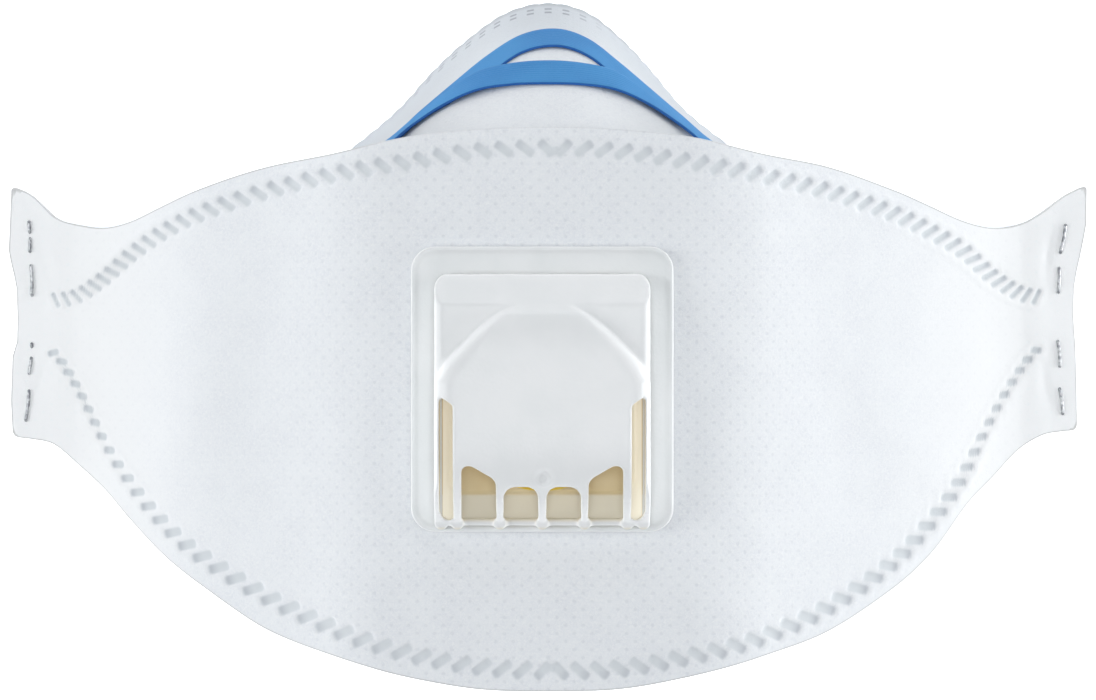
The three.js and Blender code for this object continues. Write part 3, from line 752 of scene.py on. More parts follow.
def elastic_material():
    """Flat elastic, polyester knitted round spandex threads and dyed blue: matt, with fine ribs along
    it every 0.7 mm, and darker along its near edge."""
    material, node = new_material(
        "knitted polyester elastic, dyed blue", Roughness=0.72, Sheen_Weight=0.03, Sheen_Roughness=0.5,
        Specular_IOR_Level=0.25,
    )
    band = node("UVMap", uv_map="band")
    rib = node(
        "TexWave",
        {"Vector": band, "Scale": 0.45, "Distortion": 0.4, "Detail": 2.0, "Detail Scale": 1.0},
        "Fac",
        bands_direction="Y",
    )
    grain = node("TexNoise", {"Vector": band, "Scale": 2.6, "Detail": 4.0, "Roughness": 0.65}, **IN_PLANE)
    wash = node("TexNoise", {"Vector": band, "Scale": 0.05, "Detail": 2.0}, **IN_PLANE)
    tufts = node("MapRange", (grain, 0.35, 0.75), **SMOOTH)
    base = paint(
        node,
        "#3681c0",
        (node("MapRange", (wash, 0.35, 0.65), **SMOOTH), "#3f8cc8"),
        (node("Math", (tufts, 0.3), **TIMES), "#4e98d0"),
        (node("MapRange", (node("SeparateXYZ", (band,), "Y"), 0.3, 0.1), **SMOOTH), "#245da5"),
    )
    height = node("Math", (rib, 0.05, node("Math", (grain, 0.05), **TIMES)), **TIMES_PLUS)
    return link(material, Base_Color=base,
                Normal=node("Bump", {"Strength": 0.5, "Distance": 0.001, "Height": height}))


def moulded_material(name, outside, inside, roughness):
    """Injection-moulded polypropylene, unpigmented: a waxy, slightly cloudy white with soft gloss on
    its polished faces. Inside the valve it carries painted light: tan in the shade under the hood,
    paler below the seat and in the side slots, with a faint glow for the light that comes through
    the wall; upright flanks get a painted highlight and glow too."""
    material, node = new_material(name, Roughness=roughness, IOR=1.49, Coat_Weight=0.08, Coat_Roughness=0.2)
    place = node("TexCoord", out="Object")
    depth = node("Attribute", out="Fac", attribute_name="inside")
    flank = node("Attribute", out="Fac", attribute_name="flank")
    cloud = node("TexNoise", {"Vector": place, "Scale": 90.0, "Detail": 3.0})
    fine = node("TexNoise", {"Vector": place, "Scale": 1800.0, "Detail": 2.0})
    patch = node("MapRange", (cloud, 0.3, 0.7), **SMOOTH)
    below_seat = node("MapRange", (node("SeparateXYZ", (place,), "Y"), -0.0259, -0.0265), **SMOOTH)
    in_slots = node("MapRange", (depth, 1.2, 2.4), **SMOOTH)
    # Painted light and shade inside the valve: tan in the shade under the hood, paler where light reaches
    # below the seat and in the side slots.
    inner_painted_light = paint(node, inside[0], (patch, inside[1]), (below_seat, "#dcd7c6"), (in_slots, "#ebe6d6"))
    # Upright flanks get a painted highlight.
    base = paint(node, outside[0], (patch, outside[1]), (flank, "#fbfcfc"), (depth, inner_painted_light))
    # Painted light: a glow for the light that comes through the thin wall, to its inner side and along its
    # upright flanks.
    glow = node("Math", (depth, node("Math", (flank, 0.8), **TIMES)), operation="MAXIMUM")
    return link(
        material,
        Base_Color=base,
        Emission_Color=base,
        Emission_Strength=node("Math", (glow, 0.1), **TIMES),
        Normal=node("Bump", {"Strength": 0.12, "Distance": 0.0003, "Height": fine}),
        Roughness=node("Math", (cloud, 0.12, roughness - 0.06), **TIMES_PLUS),
    )


def flap_material():
    """Silicone rubber, compression-moulded and yellow: a smooth, slightly waxy satin."""
    material, node = new_material("silicone rubber, moulded yellow", Roughness=0.45, IOR=1.43)
    cloud = node("TexNoise", {"Vector": node("TexCoord", out="Object"), "Scale": 300.0, "Detail": 3.0})
    base = paint(node, "#e0bb2c", (node("MapRange", (cloud, 0.3, 0.7), **SMOOTH), "#ecd054"))
    return link(material, Base_Color=base,
                Normal=node("Bump", {"Strength": 0.1, "Distance": 0.0002, "Height": cloud}))


def wire_material():
    """Galvanised steel wire, drawn: bright along its top, with dull zinc patches about 0.7 mm long."""
    material, node = new_material("galvanised steel wire, drawn", Metallic=1.0, Roughness=0.3)
    zinc = node("TexNoise", {"Vector": node("TexCoord", out="Object"), "Scale": 1500.0, "Detail": 3.0})
    base = paint(node, "#85888c", (node("MapRange", (zinc, 0.35, 0.7), **SMOOTH), "#d2d4d6"))
    return link(material, Base_Color=base, Roughness=node("Math", (zinc, 0.3, 0.18), **TIMES_PLUS))


def floor_material():
    """Paper backdrop, matt white and lit from below: it stays clean white under the mask."""
    material, node = new_material(
        "paper backdrop, matt white", Roughness=0.95, Specular_IOR_Level=0.1,
        Emission_Color=(1, 1, 1, 1), Emission_Strength=FLOOR_GLOW,
    )
    tooth = node("TexNoise", {"Vector": node("TexCoord", out="Object"), "Scale": 400.0, "Detail": 3.0})
    return link(material, Base_Color=paint(node, "#f6f6f6", (tooth, "#ffffff")))


CLOTH = cloth_material("spunbond polypropylene, point-bonded")
# The chin panel's cloth is greyed by painted shade.
SHADED_CHIN_CLOTH = cloth_material("spunbond polypropylene, point-bonded, chin panel", painted_shade=0.5)
NOSE_CLOTH = cloth_material("spunbond polypropylene, point-bonded and embossed at the rim", rim_marks=True)
ELASTIC = elastic_material()
# The second pair of colours of each moulding is painted light and shade inside the valve.
COVER_PLASTIC = moulded_material(
    "polypropylene, moulded natural white, polished", ("#e8eaea", "#eeefef"), ("#d9c79c", "#e4d7b6"), 0.38
)
BASE_PLASTIC = moulded_material(
    "polypropylene, moulded natural white, satin", ("#e4e7e7", "#ebeded"), ("#d2bf92", "#dccda8"), 0.48
)
SILICONE = flap_material()
WIRE = wire_material()


def finished(piece, material, slot, *nodes):
    """Gives a piece its material, hangs it under the root, and hides the CAD nodes it stands for."""
    piece.data.materials.clear()
    piece.data.materials.append(material)
    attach(piece, "root")
    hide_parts(*nodes)
    return piece


# ---- cloth panels -----------------------------------------------------------------------------------


def rounded_end(line, x, radius, way):
    """A border that turns round a tab's corner."""
    past = np.clip((np.abs(x) - (HALF_SPAN - radius)) / radius, 0, 1)
    return line(x) - way * radius * (1 - np.sqrt(1 - past**2))


def between(first, second, count):
    """Rows from one line to the next, without the last."""
    return [first + (second - first) * share for share in np.arange(count) / count]


def centre_panel():
    closing = TAB_CORNER - np.geomspace(TAB_CORNER, LAST_COLUMN, 7)
    inner = np.linspace(-(HALF_SPAN - TAB_CORNER), HALF_SPAN - TAB_CORNER, CENTRE_COLUMNS - 12)
    x = np.concatenate([inner[0] - closing[:0:-1], inner, inner[-1] + closing[1:]])
    top = rounded_end(top_line, x, 0.9, 1)
    low = rounded_end(low_line, x, 1.2, -1)
    low_out, low_in = low_weld(x) - WELD_REACH, low_weld(x) + WELD_REACH
    top_in, top_out = top_weld(x) - WELD_REACH, top_weld(x) + WELD_REACH
    lines = between(low, low_out, 8) + between(low_out, low_in, 11) + between(low_in, top_in, 60)
    lines += between(top_in, top_out, 11) + between(top_out, top, 8) + [top]
    y = np.stack(lines, axis=1)
    x = np.repeat(x[:, None], y.shape[1], axis=1)
    distance, share = weld_distance(x, y)
    points = front_point(x, y, -(cloth_lift(x, y) + mark_lift(distance)))
    points = tab_edge(points)
    piece = new_piece("centre_panel_cloth", points, grid_faces(*y.shape))
    set_uv(piece, "cloth", arch_length(x), y)
    set_value(piece, "weld", distance)
    set_value(piece, "weld_share", share)
    cut = np.minimum(np.minimum(y - low[:, None], top[:, None] - y), HALF_SPAN - np.abs(x))
    set_value(piece, "edge", cut)
    cut_port(piece)
    apply_modifier(piece, "SOLIDIFY", thickness=PANEL_WALL * MM, offset=-1, use_even_offset=False)
    smooth_shade(piece)
    return finished(piece, CLOTH, "cloth", "center_panel")


def cut_port(piece):
    """Opens the port behind the valve, with its cut edge on the circle."""
    middle = Vector((VALVE_X, VALVE_Y + SEAT_Y + SHIFT_Y)) * MM
    radius = PORT_RADIUS * MM
    front_low = FRONT_HEIGHT * 0.8 * MM
    mesh = bmesh.new()
    mesh.from_mesh(piece.data)
    inside = [v for v in mesh.verts if (v.co.xy - middle).length < radius and v.co.z > front_low]
    bmesh.ops.delete(mesh, geom=inside, context="VERTS")
    for edge in mesh.edges:
        if not edge.is_boundary:
            continue
        for vertex in edge.verts:
            away = vertex.co.xy - middle
            if away.length < radius * 1.2:
                vertex.co.xy = middle + away.normalized() * radius
    mesh.to_mesh(piece.data)
    mesh.free()


def side_panel(name, side, material, *nodes):
    """The strip welded behind the centre panel's border, and the wall from the weld to the rim."""
    wall_x = np.linspace(-RIM_END, RIM_END, SIDE_COLUMNS)
    step = wall_x[1] - wall_x[0]
    tail = np.arange(RIM_END + step, HALF_SPAN - 0.3, step)
    x = np.concatenate([-tail[::-1], wall_x, tail])
    depth = PANEL_WALL + LAYER_GAP + SIDE_WALL / 2
    shares = np.linspace(0, 1, 9)
    edge_y = rounded_end(side.edge, x, 1.2, side.way) - side.way * STRIP_INSET
    y = edge_y[:, None] + (side.weld(x) - edge_y)[:, None] * shares
    across = np.repeat(x[:, None], len(shares), axis=1)
    distance, share = weld_distance(across, y)
    lift = cloth_lift(across, y) + mark_lift(distance)
    strip = tab_edge(front_point(across, y, depth - lift))

    wall_shares = np.concatenate([[0.012], np.linspace(0.035, 0.97, 36), [0.985, 1.0]])
    wx = np.repeat(wall_x[:, None], len(wall_shares), axis=1)
    ws = np.repeat(wall_shares[None, :], len(wall_x), axis=0)
    wall = side.middle(wx, ws)
    wall[..., 2] += cloth_lift(wx, side.weld(wx)) * (1 - ws) ** 3
    drift = np.sin(wx * 0.27 + 3 * ws) * np.sin(ws * 7 + wx * 0.05) * np.sin(np.pi * ws)
    wall = wall + side.normal(wx, ws) * (0.18 * drift)[..., None]
    rim = side.rim(wall_x)
    run = np.concatenate([[0], np.cumsum(np.linalg.norm(np.diff(rim[:, :2], axis=0), axis=1))])
    run -= np.interp(0, wall_x, run)
    outward = side.normal(wall_x, np.ones(len(wall_x)))
    outward[:, 2] = 0
    scallop = SCALLOP * (np.abs(np.sin(np.pi * (run / RIM_PITCH + 0.5))) - 0.5)
    wall[:, -2:, :] += unit(outward)[:, None, :] * scallop[:, None, None]

    first = len(tail)
    strip_points = strip.reshape(-1, 3)
    wall_points = wall.reshape(-1, 3)
    faces = [grid_faces(len(x), len(shares)), grid_faces(len(wall_x), len(wall_shares), len(strip_points))]
    root = (np.arange(first, first + len(wall_x)) + 1) * len(shares) - 1
    start = len(strip_points) + np.arange(len(wall_x)) * len(wall_shares)
    faces.append(np.stack([root[:-1], root[1:], start[1:], start[:-1]], axis=-1))
    piece = new_piece(name, np.concatenate([strip_points, wall_points]), np.concatenate(faces))

    wall_run = np.cumsum(np.linalg.norm(np.diff(wall, axis=1, prepend=wall[:, :1]), axis=2), axis=1)
    u = np.concatenate([arch_length(across).ravel(), arch_length(wx).ravel()])
    v = np.concatenate([(y - side.weld(across)).ravel(), wall_run.ravel() * side.way])
    set_uv(piece, "cloth", u, v)
    flat = np.linalg.norm((wall - rim[:, None, :])[..., :2], axis=2)
    rim_u = np.concatenate([np.zeros(len(strip_points)), np.repeat(run, len(wall_shares))])
    set_uv(piece, "rim", rim_u, np.concatenate([np.full(len(strip_points), 60.0), flat.ravel()]))
    set_value(piece, "weld", np.concatenate([distance.ravel(), np.full(len(wall_points), 9.0)]))
    set_value(piece, "weld_share", np.concatenate([share.ravel(), np.zeros(len(wall_points))]))
    strip_edge = np.abs(y - edge_y[:, None])
    set_value(piece, "edge", np.concatenate([strip_edge.ravel(), flat.ravel()]))
    apply_modifier(piece, "SOLIDIFY", thickness=SIDE_WALL * MM, offset=0, use_even_offset=False)
    for vertex in piece.data.vertices:
        vertex.co.z = max(0, vertex.co.z)
    face_outwards(piece)
    smooth_shade(piece)
    return finished(piece, material, "cloth", *nodes)


# ---- headbands --------------------------------------------------------------------------------------


def smooth_route(points, cells):
    """Points along a smooth curve through the given ones."""
    points = np.asarray(points, float)
    ends = [2 * points[0] - points[1]], [2 * points[-1] - points[-2]]
    p = np.concatenate([ends[0], points, ends[1]])
    route = []
    for a, b, c, d in zip(p, p[1:], p[2:], p[3:]):
        for t in np.arange(cells) / cells:
            bend = 2 * a - 5 * b + 4 * c - d + t * (3 * b - a - 3 * c + d)
            route.append(b + 0.5 * t * (c - a + t * bend))
    return np.array(route + [points[-1]])


def band_edge(rows, end, which, slack, shift):
    """One edge of a headband from tab to tab: over the upper panel's wall, then under each tab."""
    x = np.concatenate([-rows["x"][:0:-1], rows["x"]])
    x = x + shift * (1 - np.abs(x) / rows["x"][-1])
    share = np.concatenate([rows[which][:0:-1], rows[which]])
    off = np.concatenate([rows["off"][:0:-1], rows["off"]])
    off = off + slack * np.sin(np.pi * np.clip((x - SLACK_FROM) / SLACK_LENGTH, 0, 1))
    over = UPPER.middle(x, share) + UPPER.normal(x, share) * off[:, None]
    right = np.array([row[0 if which == "near" else 1] for row in end])
    left = right[::-1] * (-1, 1, 1)
    return smooth_route(np.concatenate([left, over, right]), 8)


def headband(name, rows, end, slack, shift, node):
    near = band_edge(rows, end, "near", slack, shift)
    far = band_edge(rows, end, "far", slack, shift)
    along = unit(np.gradient(near + far, axis=0))
    across = unit(far - near)
    normal = unit(np.cross(along, across))
    width = np.linalg.norm(far - near, axis=1)
    half = STRAP_THICKNESS / 2
    turn = np.linspace(0, math.pi / 2, 4)
    corner = [(half * (1 - math.cos(a)), half * math.sin(a)) for a in turn]
    shares = np.linspace(0, 1, 9)[1:-1]
    # The section: up the near edge, over the face, down the far edge and back underneath.
    section = [(c, 0, h) for c, h in corner] + [(0, s, half) for s in shares]
    section += [(-c, 1, h) for c, h in corner[::-1]]
    section += [(-c, 1, -h) for c, h in corner[1:]] + [(0, s, -half) for s in shares[::-1]]
    section += [(c, 0, -h) for c, h in corner[:0:-1]]
    rings = []
    over = []
    for inset, share, height in section:
        place = near + across * (inset + share * width)[:, None] + normal * height
        rings.append(place)
        over.append(inset + share * width)
    points = np.stack(rings, axis=1)
    count = len(section)
    stations = len(near)
    faces = []
    for i in range(stations - 1):
        for j in range(count):
            k = (j + 1) % count
            faces.append([i * count + j, (i + 1) * count + j, (i + 1) * count + k, i * count + k])
    faces.append(list(range(count)))
    faces.append(list(range((stations - 1) * count, stations * count)))
    piece = new_piece(name, points, faces)
    run = np.concatenate([[0], np.cumsum(np.linalg.norm(np.diff(near, axis=0), axis=1))])
    set_uv(piece, "band", np.repeat(run, count), np.stack(over, axis=1))
    face_outwards(piece)
    smooth_shade(piece)
    finished(piece, ELASTIC, "elastic", node)
    print(name, "length mm", round(float(run[-1]), 1))


# ---- staples ----------------------------------------------------------------------------------------


def staple(name, shift, crown, lean, sunk):
    """A wire crown on the tab, with its legs through the cloth and its feet bent in underneath."""
    low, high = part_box(name)
    centre = Vector(((low[0] + high[0]) / 2, (low[1] + high[1]) / 2, 0)) / MM + Vector((*shift, 0))
    half = crown / 2 - WIRE_RADIUS
    top = TAB_HEIGHT + WIRE_RADIUS * 0.55
    foot = 0.1 + WIRE_RADIUS
    path = [(0.35, -0.6, foot), (0.1, -half + 0.5, foot), (0, -half, foot + 0.5), (0, -half, top - 0.5)]
    for step in range(13):
        share = step / 12
        height = top
        if sunk and sunk[0] < share < sunk[1]:
            height -= STAPLE_SUNK
        bow = 0.12 * math.sin(math.pi * share) + random.uniform(-0.04, 0.04)
        path.append((bow, -half + 2 * half * share, height))
    path += [(0, half, top - 0.5), (0, half, foot + 0.5), (-0.1, half - 0.5, foot), (-0.35, 0.6, foot)]
    turn = Matrix.Rotation(math.radians(lean), 4, "Z")
    wire = bpy.data.curves.new(name + "_wire", "CURVE")
    wire.dimensions = "3D"
    wire.bevel_depth = WIRE_RADIUS * MM
    wire.bevel_resolution = 4
    wire.use_fill_caps = True
    spline = wire.splines.new("NURBS")
    spline.points.add(len(path) - 1)
    spline.order_u = 3
    spline.use_endpoint_u = True
    spline.resolution_u = 4
    for bend, place in zip(spline.points, path):
        bend.co = ((turn @ Vector(place) + centre) * MM).to_4d()
    piece = bpy.data.objects.new(name + "_wire", wire)
    bpy.context.scene.collection.objects.link(piece)
    make_active(piece)
    bpy.ops.object.convert(target="MESH")
    piece = bpy.context.object
    face_outwards(piece)
    smooth_shade(piece)
    finished(piece, WIRE, "staple_wire", name)


# ---- valve, modelled round its own middle in millimetres ---------------------------------------------


def select(piece, mode, wanted):
    """In edit mode, selects only the edges or faces for which wanted is true."""
    bpy.ops.mesh.select_mode(type=mode)
    bpy.ops.mesh.select_all(action="DESELECT")
    mesh = bmesh.from_edit_mesh(piece.data)
    for element in mesh.edges if mode == "EDGE" else mesh.faces:
        if wanted(element):
            element.select_set(True)
    bmesh.update_edit_mesh(piece.data)


def upright(edge):
    return (edge.verts[0].co - edge.verts[1].co).xy.length < 1e-4


def level(height):
    """Whether an edge lies at a height."""
    return lambda edge: all(abs(v.co.z - height) < 1e-4 for v in edge.verts)


def rounded_box(left, right, bottom, top, low, high, corner, edge):
    """A block with rounded upright corners and a rounded upper edge."""
    bpy.ops.mesh.primitive_cube_add(
        size=1,
        location=((left + right) / 2, (bottom + top) / 2, (low + high) / 2),
        scale=(right - left, top - bottom, high - low),
    )
    bpy.ops.object.transform_apply(location=True, rotation=True, scale=True)
    piece = bpy.context.object
    bpy.ops.object.mode_set(mode="EDIT")
    select(piece, "EDGE", upright)
    bpy.ops.mesh.bevel(offset=corner, segments=8, affect="EDGES")
    if edge:
        select(piece, "EDGE", level(high))
        bpy.ops.mesh.bevel(offset=edge, segments=5, affect="EDGES")
    bpy.ops.object.mode_set(mode="OBJECT")
    return piece


def raised_plan(points, low, high, edge=0):
    """A block over a plan outline: a ring is laid on the outline, filled and drawn up."""
    bpy.ops.mesh.primitive_circle_add(vertices=len(points), fill_type="NGON")
    piece = bpy.context.object
    for vertex, (x, y) in zip(piece.data.vertices, points):
        vertex.co = (x, y, low)
    bpy.ops.object.mode_set(mode="EDIT")
    bpy.ops.mesh.select_all(action="SELECT")
    bpy.ops.mesh.extrude_region_move(TRANSFORM_OT_translate={"value": (0, 0, high - low)})
    bpy.ops.mesh.select_all(action="SELECT")
    bpy.ops.mesh.normals_make_consistent(inside=False)
    if edge:
        select(piece, "EDGE", level(high))
        bpy.ops.mesh.bevel(offset=edge, segments=6, affect="EDGES")
    bpy.ops.object.mode_set(mode="OBJECT")
    return piece


def round_bar(radius, low, high, y=0.0, sides=96):
    bpy.ops.mesh.primitive_cylinder_add(
        vertices=sides, radius=radius, depth=high - low, location=(0, y, (low + high) / 2)
    )
    bpy.ops.object.transform_apply(location=True, rotation=True, scale=True)
    return bpy.context.object


def combine(body, tool, operation):
    """Joins, cuts or keeps the common part of two blocks; the tool is used up."""
    apply_modifier(body, "BOOLEAN", object=tool, operation=operation, solver="EXACT")
    bpy.data.objects.remove(tool)
    return body


def place_valve_piece(piece, name, height):
    """Moves a finished valve piece to its place, in metres, and marks its upright flanks for their painted
    highlight.
    """
    piece.name = name
    upright_share = 1 - np.array([abs(vertex.normal.z) for vertex in piece.data.vertices])
    outwards = np.array([max(abs(vertex.co.x), abs(vertex.co.y) - 2) for vertex in piece.data.vertices])
    cover = 0.3 + 0.7 * smoothstep(15.8, 16.8, outwards)
    set_value(piece, "flank", smoothstep(0.08, 0.7, upright_share) * cover)
    piece.data.transform(Matrix.Translation((VALVE_X, VALVE_Y + SHIFT_Y, height)))
    piece.data.transform(Matrix.Scale(MM, 4))


# Right-hand half of the hood's outline, from its straight side up to the middle of the arch.
HOOD_ARCH = [
    (18.15, -25.2), (18.15, 1.5), (16.0, 4.9), (13.2, 7.9), (10.6, 10.4), (7.6, 12.6), (4.0, 14.2), (0, 14.8),
]


def hood_plan(inset):
    """The hood's outline: full width below, drawing in to an arch under the top ledge."""
    half = [(x * (1 - inset / COVER_HALF), y - inset * (y > 0), 0) for x, y in HOOD_ARCH]
    route = [half[0][:2]] + [tuple(p) for p in smooth_route(half[1:], 3)[:, :2]]
    return route + [(-x, y) for x, y in route[-2::-1]]


def cover_form(inset):
    """The cover's outer body, or with an inset the hollow inside it."""
    low = -2.0 if inset else 0.0
    half = COVER_HALF - inset
    shoulder = COVER_SHOULDER - inset
    crown = COVER_CROWN - inset
    box = rounded_box(-half, half, COVER_BOTTOM + inset, COVER_TOP - inset, low, shoulder, 2.6, 1.7)
    hood = raised_plan(hood_plan(inset), low, crown, 3.2)
    body = combine(box, hood, "UNION")
    # Side view: the ledge slopes up to the shoulder, the hood runs level and rolls down to the plate.
    side = [(COVER_TOP - inset, low - 1), (COVER_TOP - 0.3 - inset, 1.4), (14.3 - inset, shoulder)]
    roll = [
        (12.8, crown - 1.5), (10.5, crown - 0.65), (7.5, crown - 0.15), (4, crown), (-3, crown), (-9, crown),
        (-13, crown - 0.45), (-16.5, crown - 1.6), (-19.3, crown - 3.5), (-21.3, crown - 5.6),
    ]
    side += [tuple(p) for p in smooth_route([(y, z, 0) for y, z in roll], 4)[:, :2]]
    side += [(COVER_BOTTOM + inset + 0.5, 1.8), (COVER_BOTTOM + inset, low - 1)]
    profile = raised_plan(side, -half - 1, half + 1)
    profile.data.transform(Matrix(((0, 0, 1, 0), (1, 0, 0, 0), (0, 1, 0, 0), (0, 0, 0, 1))))
    return combine(body, profile, "INTERSECT")


# Openings between the ribs, right-hand side: side slot, outer window and inner window.
COVER_OPENINGS = [
    [(15.0, -22.0), (15.0, -2.6), (15.9, -2.0), (17.0, -1.3), (17.25, -2.0), (17.25, -20.5), (16.4, -22.0)],
    [(7.8, -26), (13.5, -26), (13.5, -13.4), (12.9, -12.8), (11.9, -12.8), (8.3, -14.9), (7.8, -15.7)],
    [(0.75, -26), (6.4, -26), (6.4, -17.6), (5.8, -16.7), (4.8, -16.3), (2.3, -16.3), (1.2, -16.8),
     (0.75, -17.8)],
]
COVER_SILL = 1.0
SLOT_LIGHT = 3.0
GATE = (0.2, -14.9)
RIB_FEET = (-17.0, -14.3, -7.1, 0, 7.1, 14.3, 17.0)


def valve_cover():
    outer = cover_form(0)
    corners = [vertex.co.copy() for vertex in outer.data.vertices]
    skin = BVHTree.FromPolygons(corners, [face.vertices[:] for face in outer.data.polygons])
    body = combine(outer, cover_form(COVER_WALL), "DIFFERENCE")
    for number, opening in enumerate(COVER_OPENINGS):
        for hand in (1, -1):
            sill = -1.0 if number == 0 else COVER_SILL
            cutter = raised_plan([(hand * x, y) for x, y in opening], sill, COVER_CROWN + 2)
            body = combine(body, cutter, "DIFFERENCE")
    for x in RIB_FEET:
        foot = round_bar(1.15, 0, 2.0, COVER_BOTTOM + 0.7, 24)
        foot.data.transform(Matrix.Translation((x, 0, 0)))
        body = combine(body, foot, "UNION")
    apply_modifier(body, "REMESH", mode="VOXEL", voxel_size=0.29, adaptivity=0)
    apply_modifier(body, "SMOOTH", factor=0.5, iterations=5)
    # The gate mark: a shallow round dimple with a soft raised ring and a tip in its middle.
    for vertex in body.data.vertices:
        away = math.hypot(vertex.co.x - GATE[0], vertex.co.y - GATE[1])
        if away < 2.2 and vertex.co.z > COVER_SHOULDER:
            ring = math.exp(-(((away - 1.25) / 0.3) ** 2))
            tip = math.exp(-((away / 0.35) ** 2))
            dimple = max(0, 1 - away) ** 0.5
            vertex.co.z += 0.26 * ring - 0.34 * dimple + 0.3 * tip
    # How far each point lies inside the outer skin: the inner faces get the painted light.
    depth = [skin.find_nearest(v.co)[3] for v in body.data.vertices]
    set_value(body, "inside", smoothstep(0.3, 0.95, np.array(depth)))
    place_valve_piece(body, "valve_cover_moulding", PLATE_TOP + LAYER_GAP)
    smooth_shade(body, 80)
    finished(body, COVER_PLASTIC, "valve_cover_plastic", "valve_cover")


def valve_base():
    """Plate with a low lip round it, a platform under the hood, and the seat with its cross."""
    half_width = PLATE_WIDTH / 2
    half_height = PLATE_HEIGHT / 2
    plate = rounded_box(-half_width, half_width, -half_height, half_height, 0, PLATE_WALL, 4.0, 0.45)
    tray = rounded_box(PLATE_LIP - half_width, half_width - PLATE_LIP, PLATE_LIP - half_height,
                       half_height - PLATE_LIP, PLATE_WALL - 0.3, PLATE_WALL + 1, 3.4, 0)
    body = combine(plate, tray, "DIFFERENCE")
    platform = rounded_box(-15.4, 15.4, -17.4, 15.6, PLATE_WALL - 0.8, PLATE_WALL + 0.8, 2.0, 0.3)
    body = combine(body, platform, "UNION")
    ring = round_bar(SEAT_OUTER, -2.2, PLATE_WALL + SEAT_RISE, SEAT_Y)
    body = combine(body, ring, "UNION")
    body = combine(body, round_bar(SEAT_INNER, -3, PLATE_WALL + 3, SEAT_Y), "DIFFERENCE")
    reach = SEAT_INNER + 0.4
    for half, tall in ((CROSS_HALF, reach), (reach, CROSS_HALF)):
        bar = rounded_box(-half, half, SEAT_Y - tall, SEAT_Y + tall, 0, PLATE_WALL, 0.2, 0)
        body = combine(body, bar, "UNION")
    apply_modifier(body, "REMESH", mode="VOXEL", voxel_size=0.3, adaptivity=0)
    apply_modifier(body, "SMOOTH", factor=0.5, iterations=3)
    # Painted light for what comes through the wall lies under the hood, stronger below the side slots.
    across = np.array([abs(vertex.co.x) for vertex in body.data.vertices])
    along = np.array([vertex.co.y for vertex in body.data.vertices])
    painted_light_under_hood = (across < 16.9) & (along > -22.2) & (along < 18.5)
    set_value(body, "inside", painted_light_under_hood * np.where(across < 14.0, 1.0, SLOT_LIGHT))
    place_valve_piece(body, "valve_base_moulding", PLATE_LOW)
    smooth_shade(body, 80)
    finished(body, BASE_PLASTIC, "valve_seat_plastic", "valve_base")


def valve_flap():
    """A thin rubber disc with a rounded edge."""
    piece = round_bar(FLAP_RADIUS, 0, FLAP_THICKNESS, SEAT_Y, 128)
    bpy.ops.object.mode_set(mode="EDIT")
    select(piece, "EDGE", lambda edge: not upright(edge))
    bpy.ops.mesh.bevel(offset=0.25, segments=3, affect="EDGES")
    select(piece, "FACE", lambda face: abs(face.normal.z) > 0.99)
    bpy.ops.mesh.inset(thickness=1.2)
    bpy.ops.object.mode_set(mode="OBJECT")
    place_valve_piece(piece, "valve_flap_disc", PLATE_TOP + SEAT_RISE + LAYER_GAP)
    smooth_shade(piece)
    finished(piece, SILICONE, "diaphragm", "valve_flap")


# ---- studio -----------------------------------------------------------------------------------------


# Name, place in metres, size of its side in metres, and watts.
SOFTBOXES = (
    ("left softbox", (-0.95, 0.0, 0.65), 0.6, 4.84),
    ("right low softbox", (1.1, 0.0, 0.25), 0.5, 5.41),
    ("right softbox", (0.95, 0.0, 0.65), 0.6, 0.94),
    ("nose side softbox", (0, 1.0, 0.5), 0.6, 2.25),
    ("chin side softbox", (0, -1.0, 0.5), 0.6, 1.79),
    ("overhead softbox", (0, 0.0, 1.6), 0.6, 4.70),
)
LAMP_AIM = Vector((0, 0, 0.02))
LAMP_COLOUR = "#fdfeff"
WALL_LIGHT = 0.28
FLOOR_GLOW = 0.733


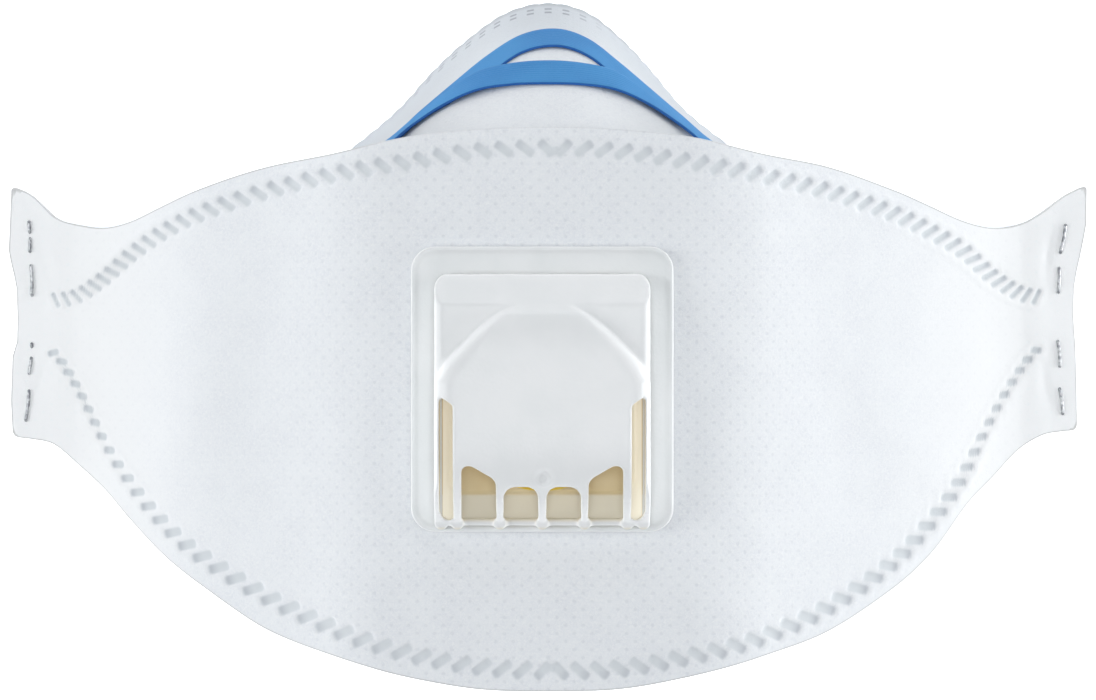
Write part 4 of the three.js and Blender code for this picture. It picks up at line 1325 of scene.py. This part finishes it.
def softbox(name, place, size, watts):
    lamp = bpy.data.lights.new(name, "AREA")
    lamp.shape = "SQUARE"
    lamp.size = size
    lamp.energy = watts
    lamp.color = linear(LAMP_COLOUR)[:3]
    box = bpy.data.objects.new(name, lamp)
    box.location = place
    box.rotation_euler = (LAMP_AIM - Vector(place)).to_track_quat("-Z", "Y").to_euler()
    bpy.context.scene.collection.objects.link(box)


def studio():
    bpy.ops.mesh.primitive_plane_add(size=6, location=(0, 0, -0.0002))
    floor = bpy.context.object
    floor.name = "floor"
    floor.data.materials.append(floor_material())
    for box in SOFTBOXES:
        softbox(*box)
    world = bpy.data.worlds.new("studio walls")
    world.use_nodes = True
    background = world.node_tree.nodes["Background"]
    background.inputs["Color"].default_value = linear("#eef3fa")
    background.inputs["Strength"].default_value = WALL_LIGHT
    bpy.context.scene.world = world
    bpy.context.scene.view_settings.view_transform = "Standard"


def camera():
    """Straight above the middle of the front, a metre away."""
    lens = bpy.data.cameras.new("camera")
    lens.sensor_width = 36
    lens.lens = 185.2
    eye = bpy.data.objects.new("camera", lens)
    eye.location = (0, SHIFT_Y * MM, 1.0)
    bpy.context.scene.collection.objects.link(eye)
    bpy.context.scene.camera = eye


camera()
studio()

centre = centre_panel()
upper = side_panel("upper_panel_cloth", UPPER, NOSE_CLOTH, "upper_panel")
lower = side_panel("lower_panel_cloth", LOWER, SHADED_CHIN_CLOTH, "lower_panel")
headband("upper_headband", UPPER_STRAP_ROWS, UPPER_STRAP_END, STRAP_SLACK, UPPER_STRAP_SHIFT, "upper_strap")
headband("lower_headband", LOWER_STRAP_ROWS, LOWER_STRAP_END, 0, 0, "lower_strap")
for staple_name, how in STAPLES.items():
    staple(staple_name, *how)
valve_base()
valve_flap()
valve_cover()


def cut_area(piece):
    """Flat area of a panel's cloth: half of all its faces."""
    return sum(face.area for face in piece.data.polygons) / 2


for panel, flat in ((centre, (0.22, 0.0957)), (upper, (0.22, 0.066)), (lower, (0.22, 0.056))):
    min(cut_area(panel), flat[0] * flat[1])
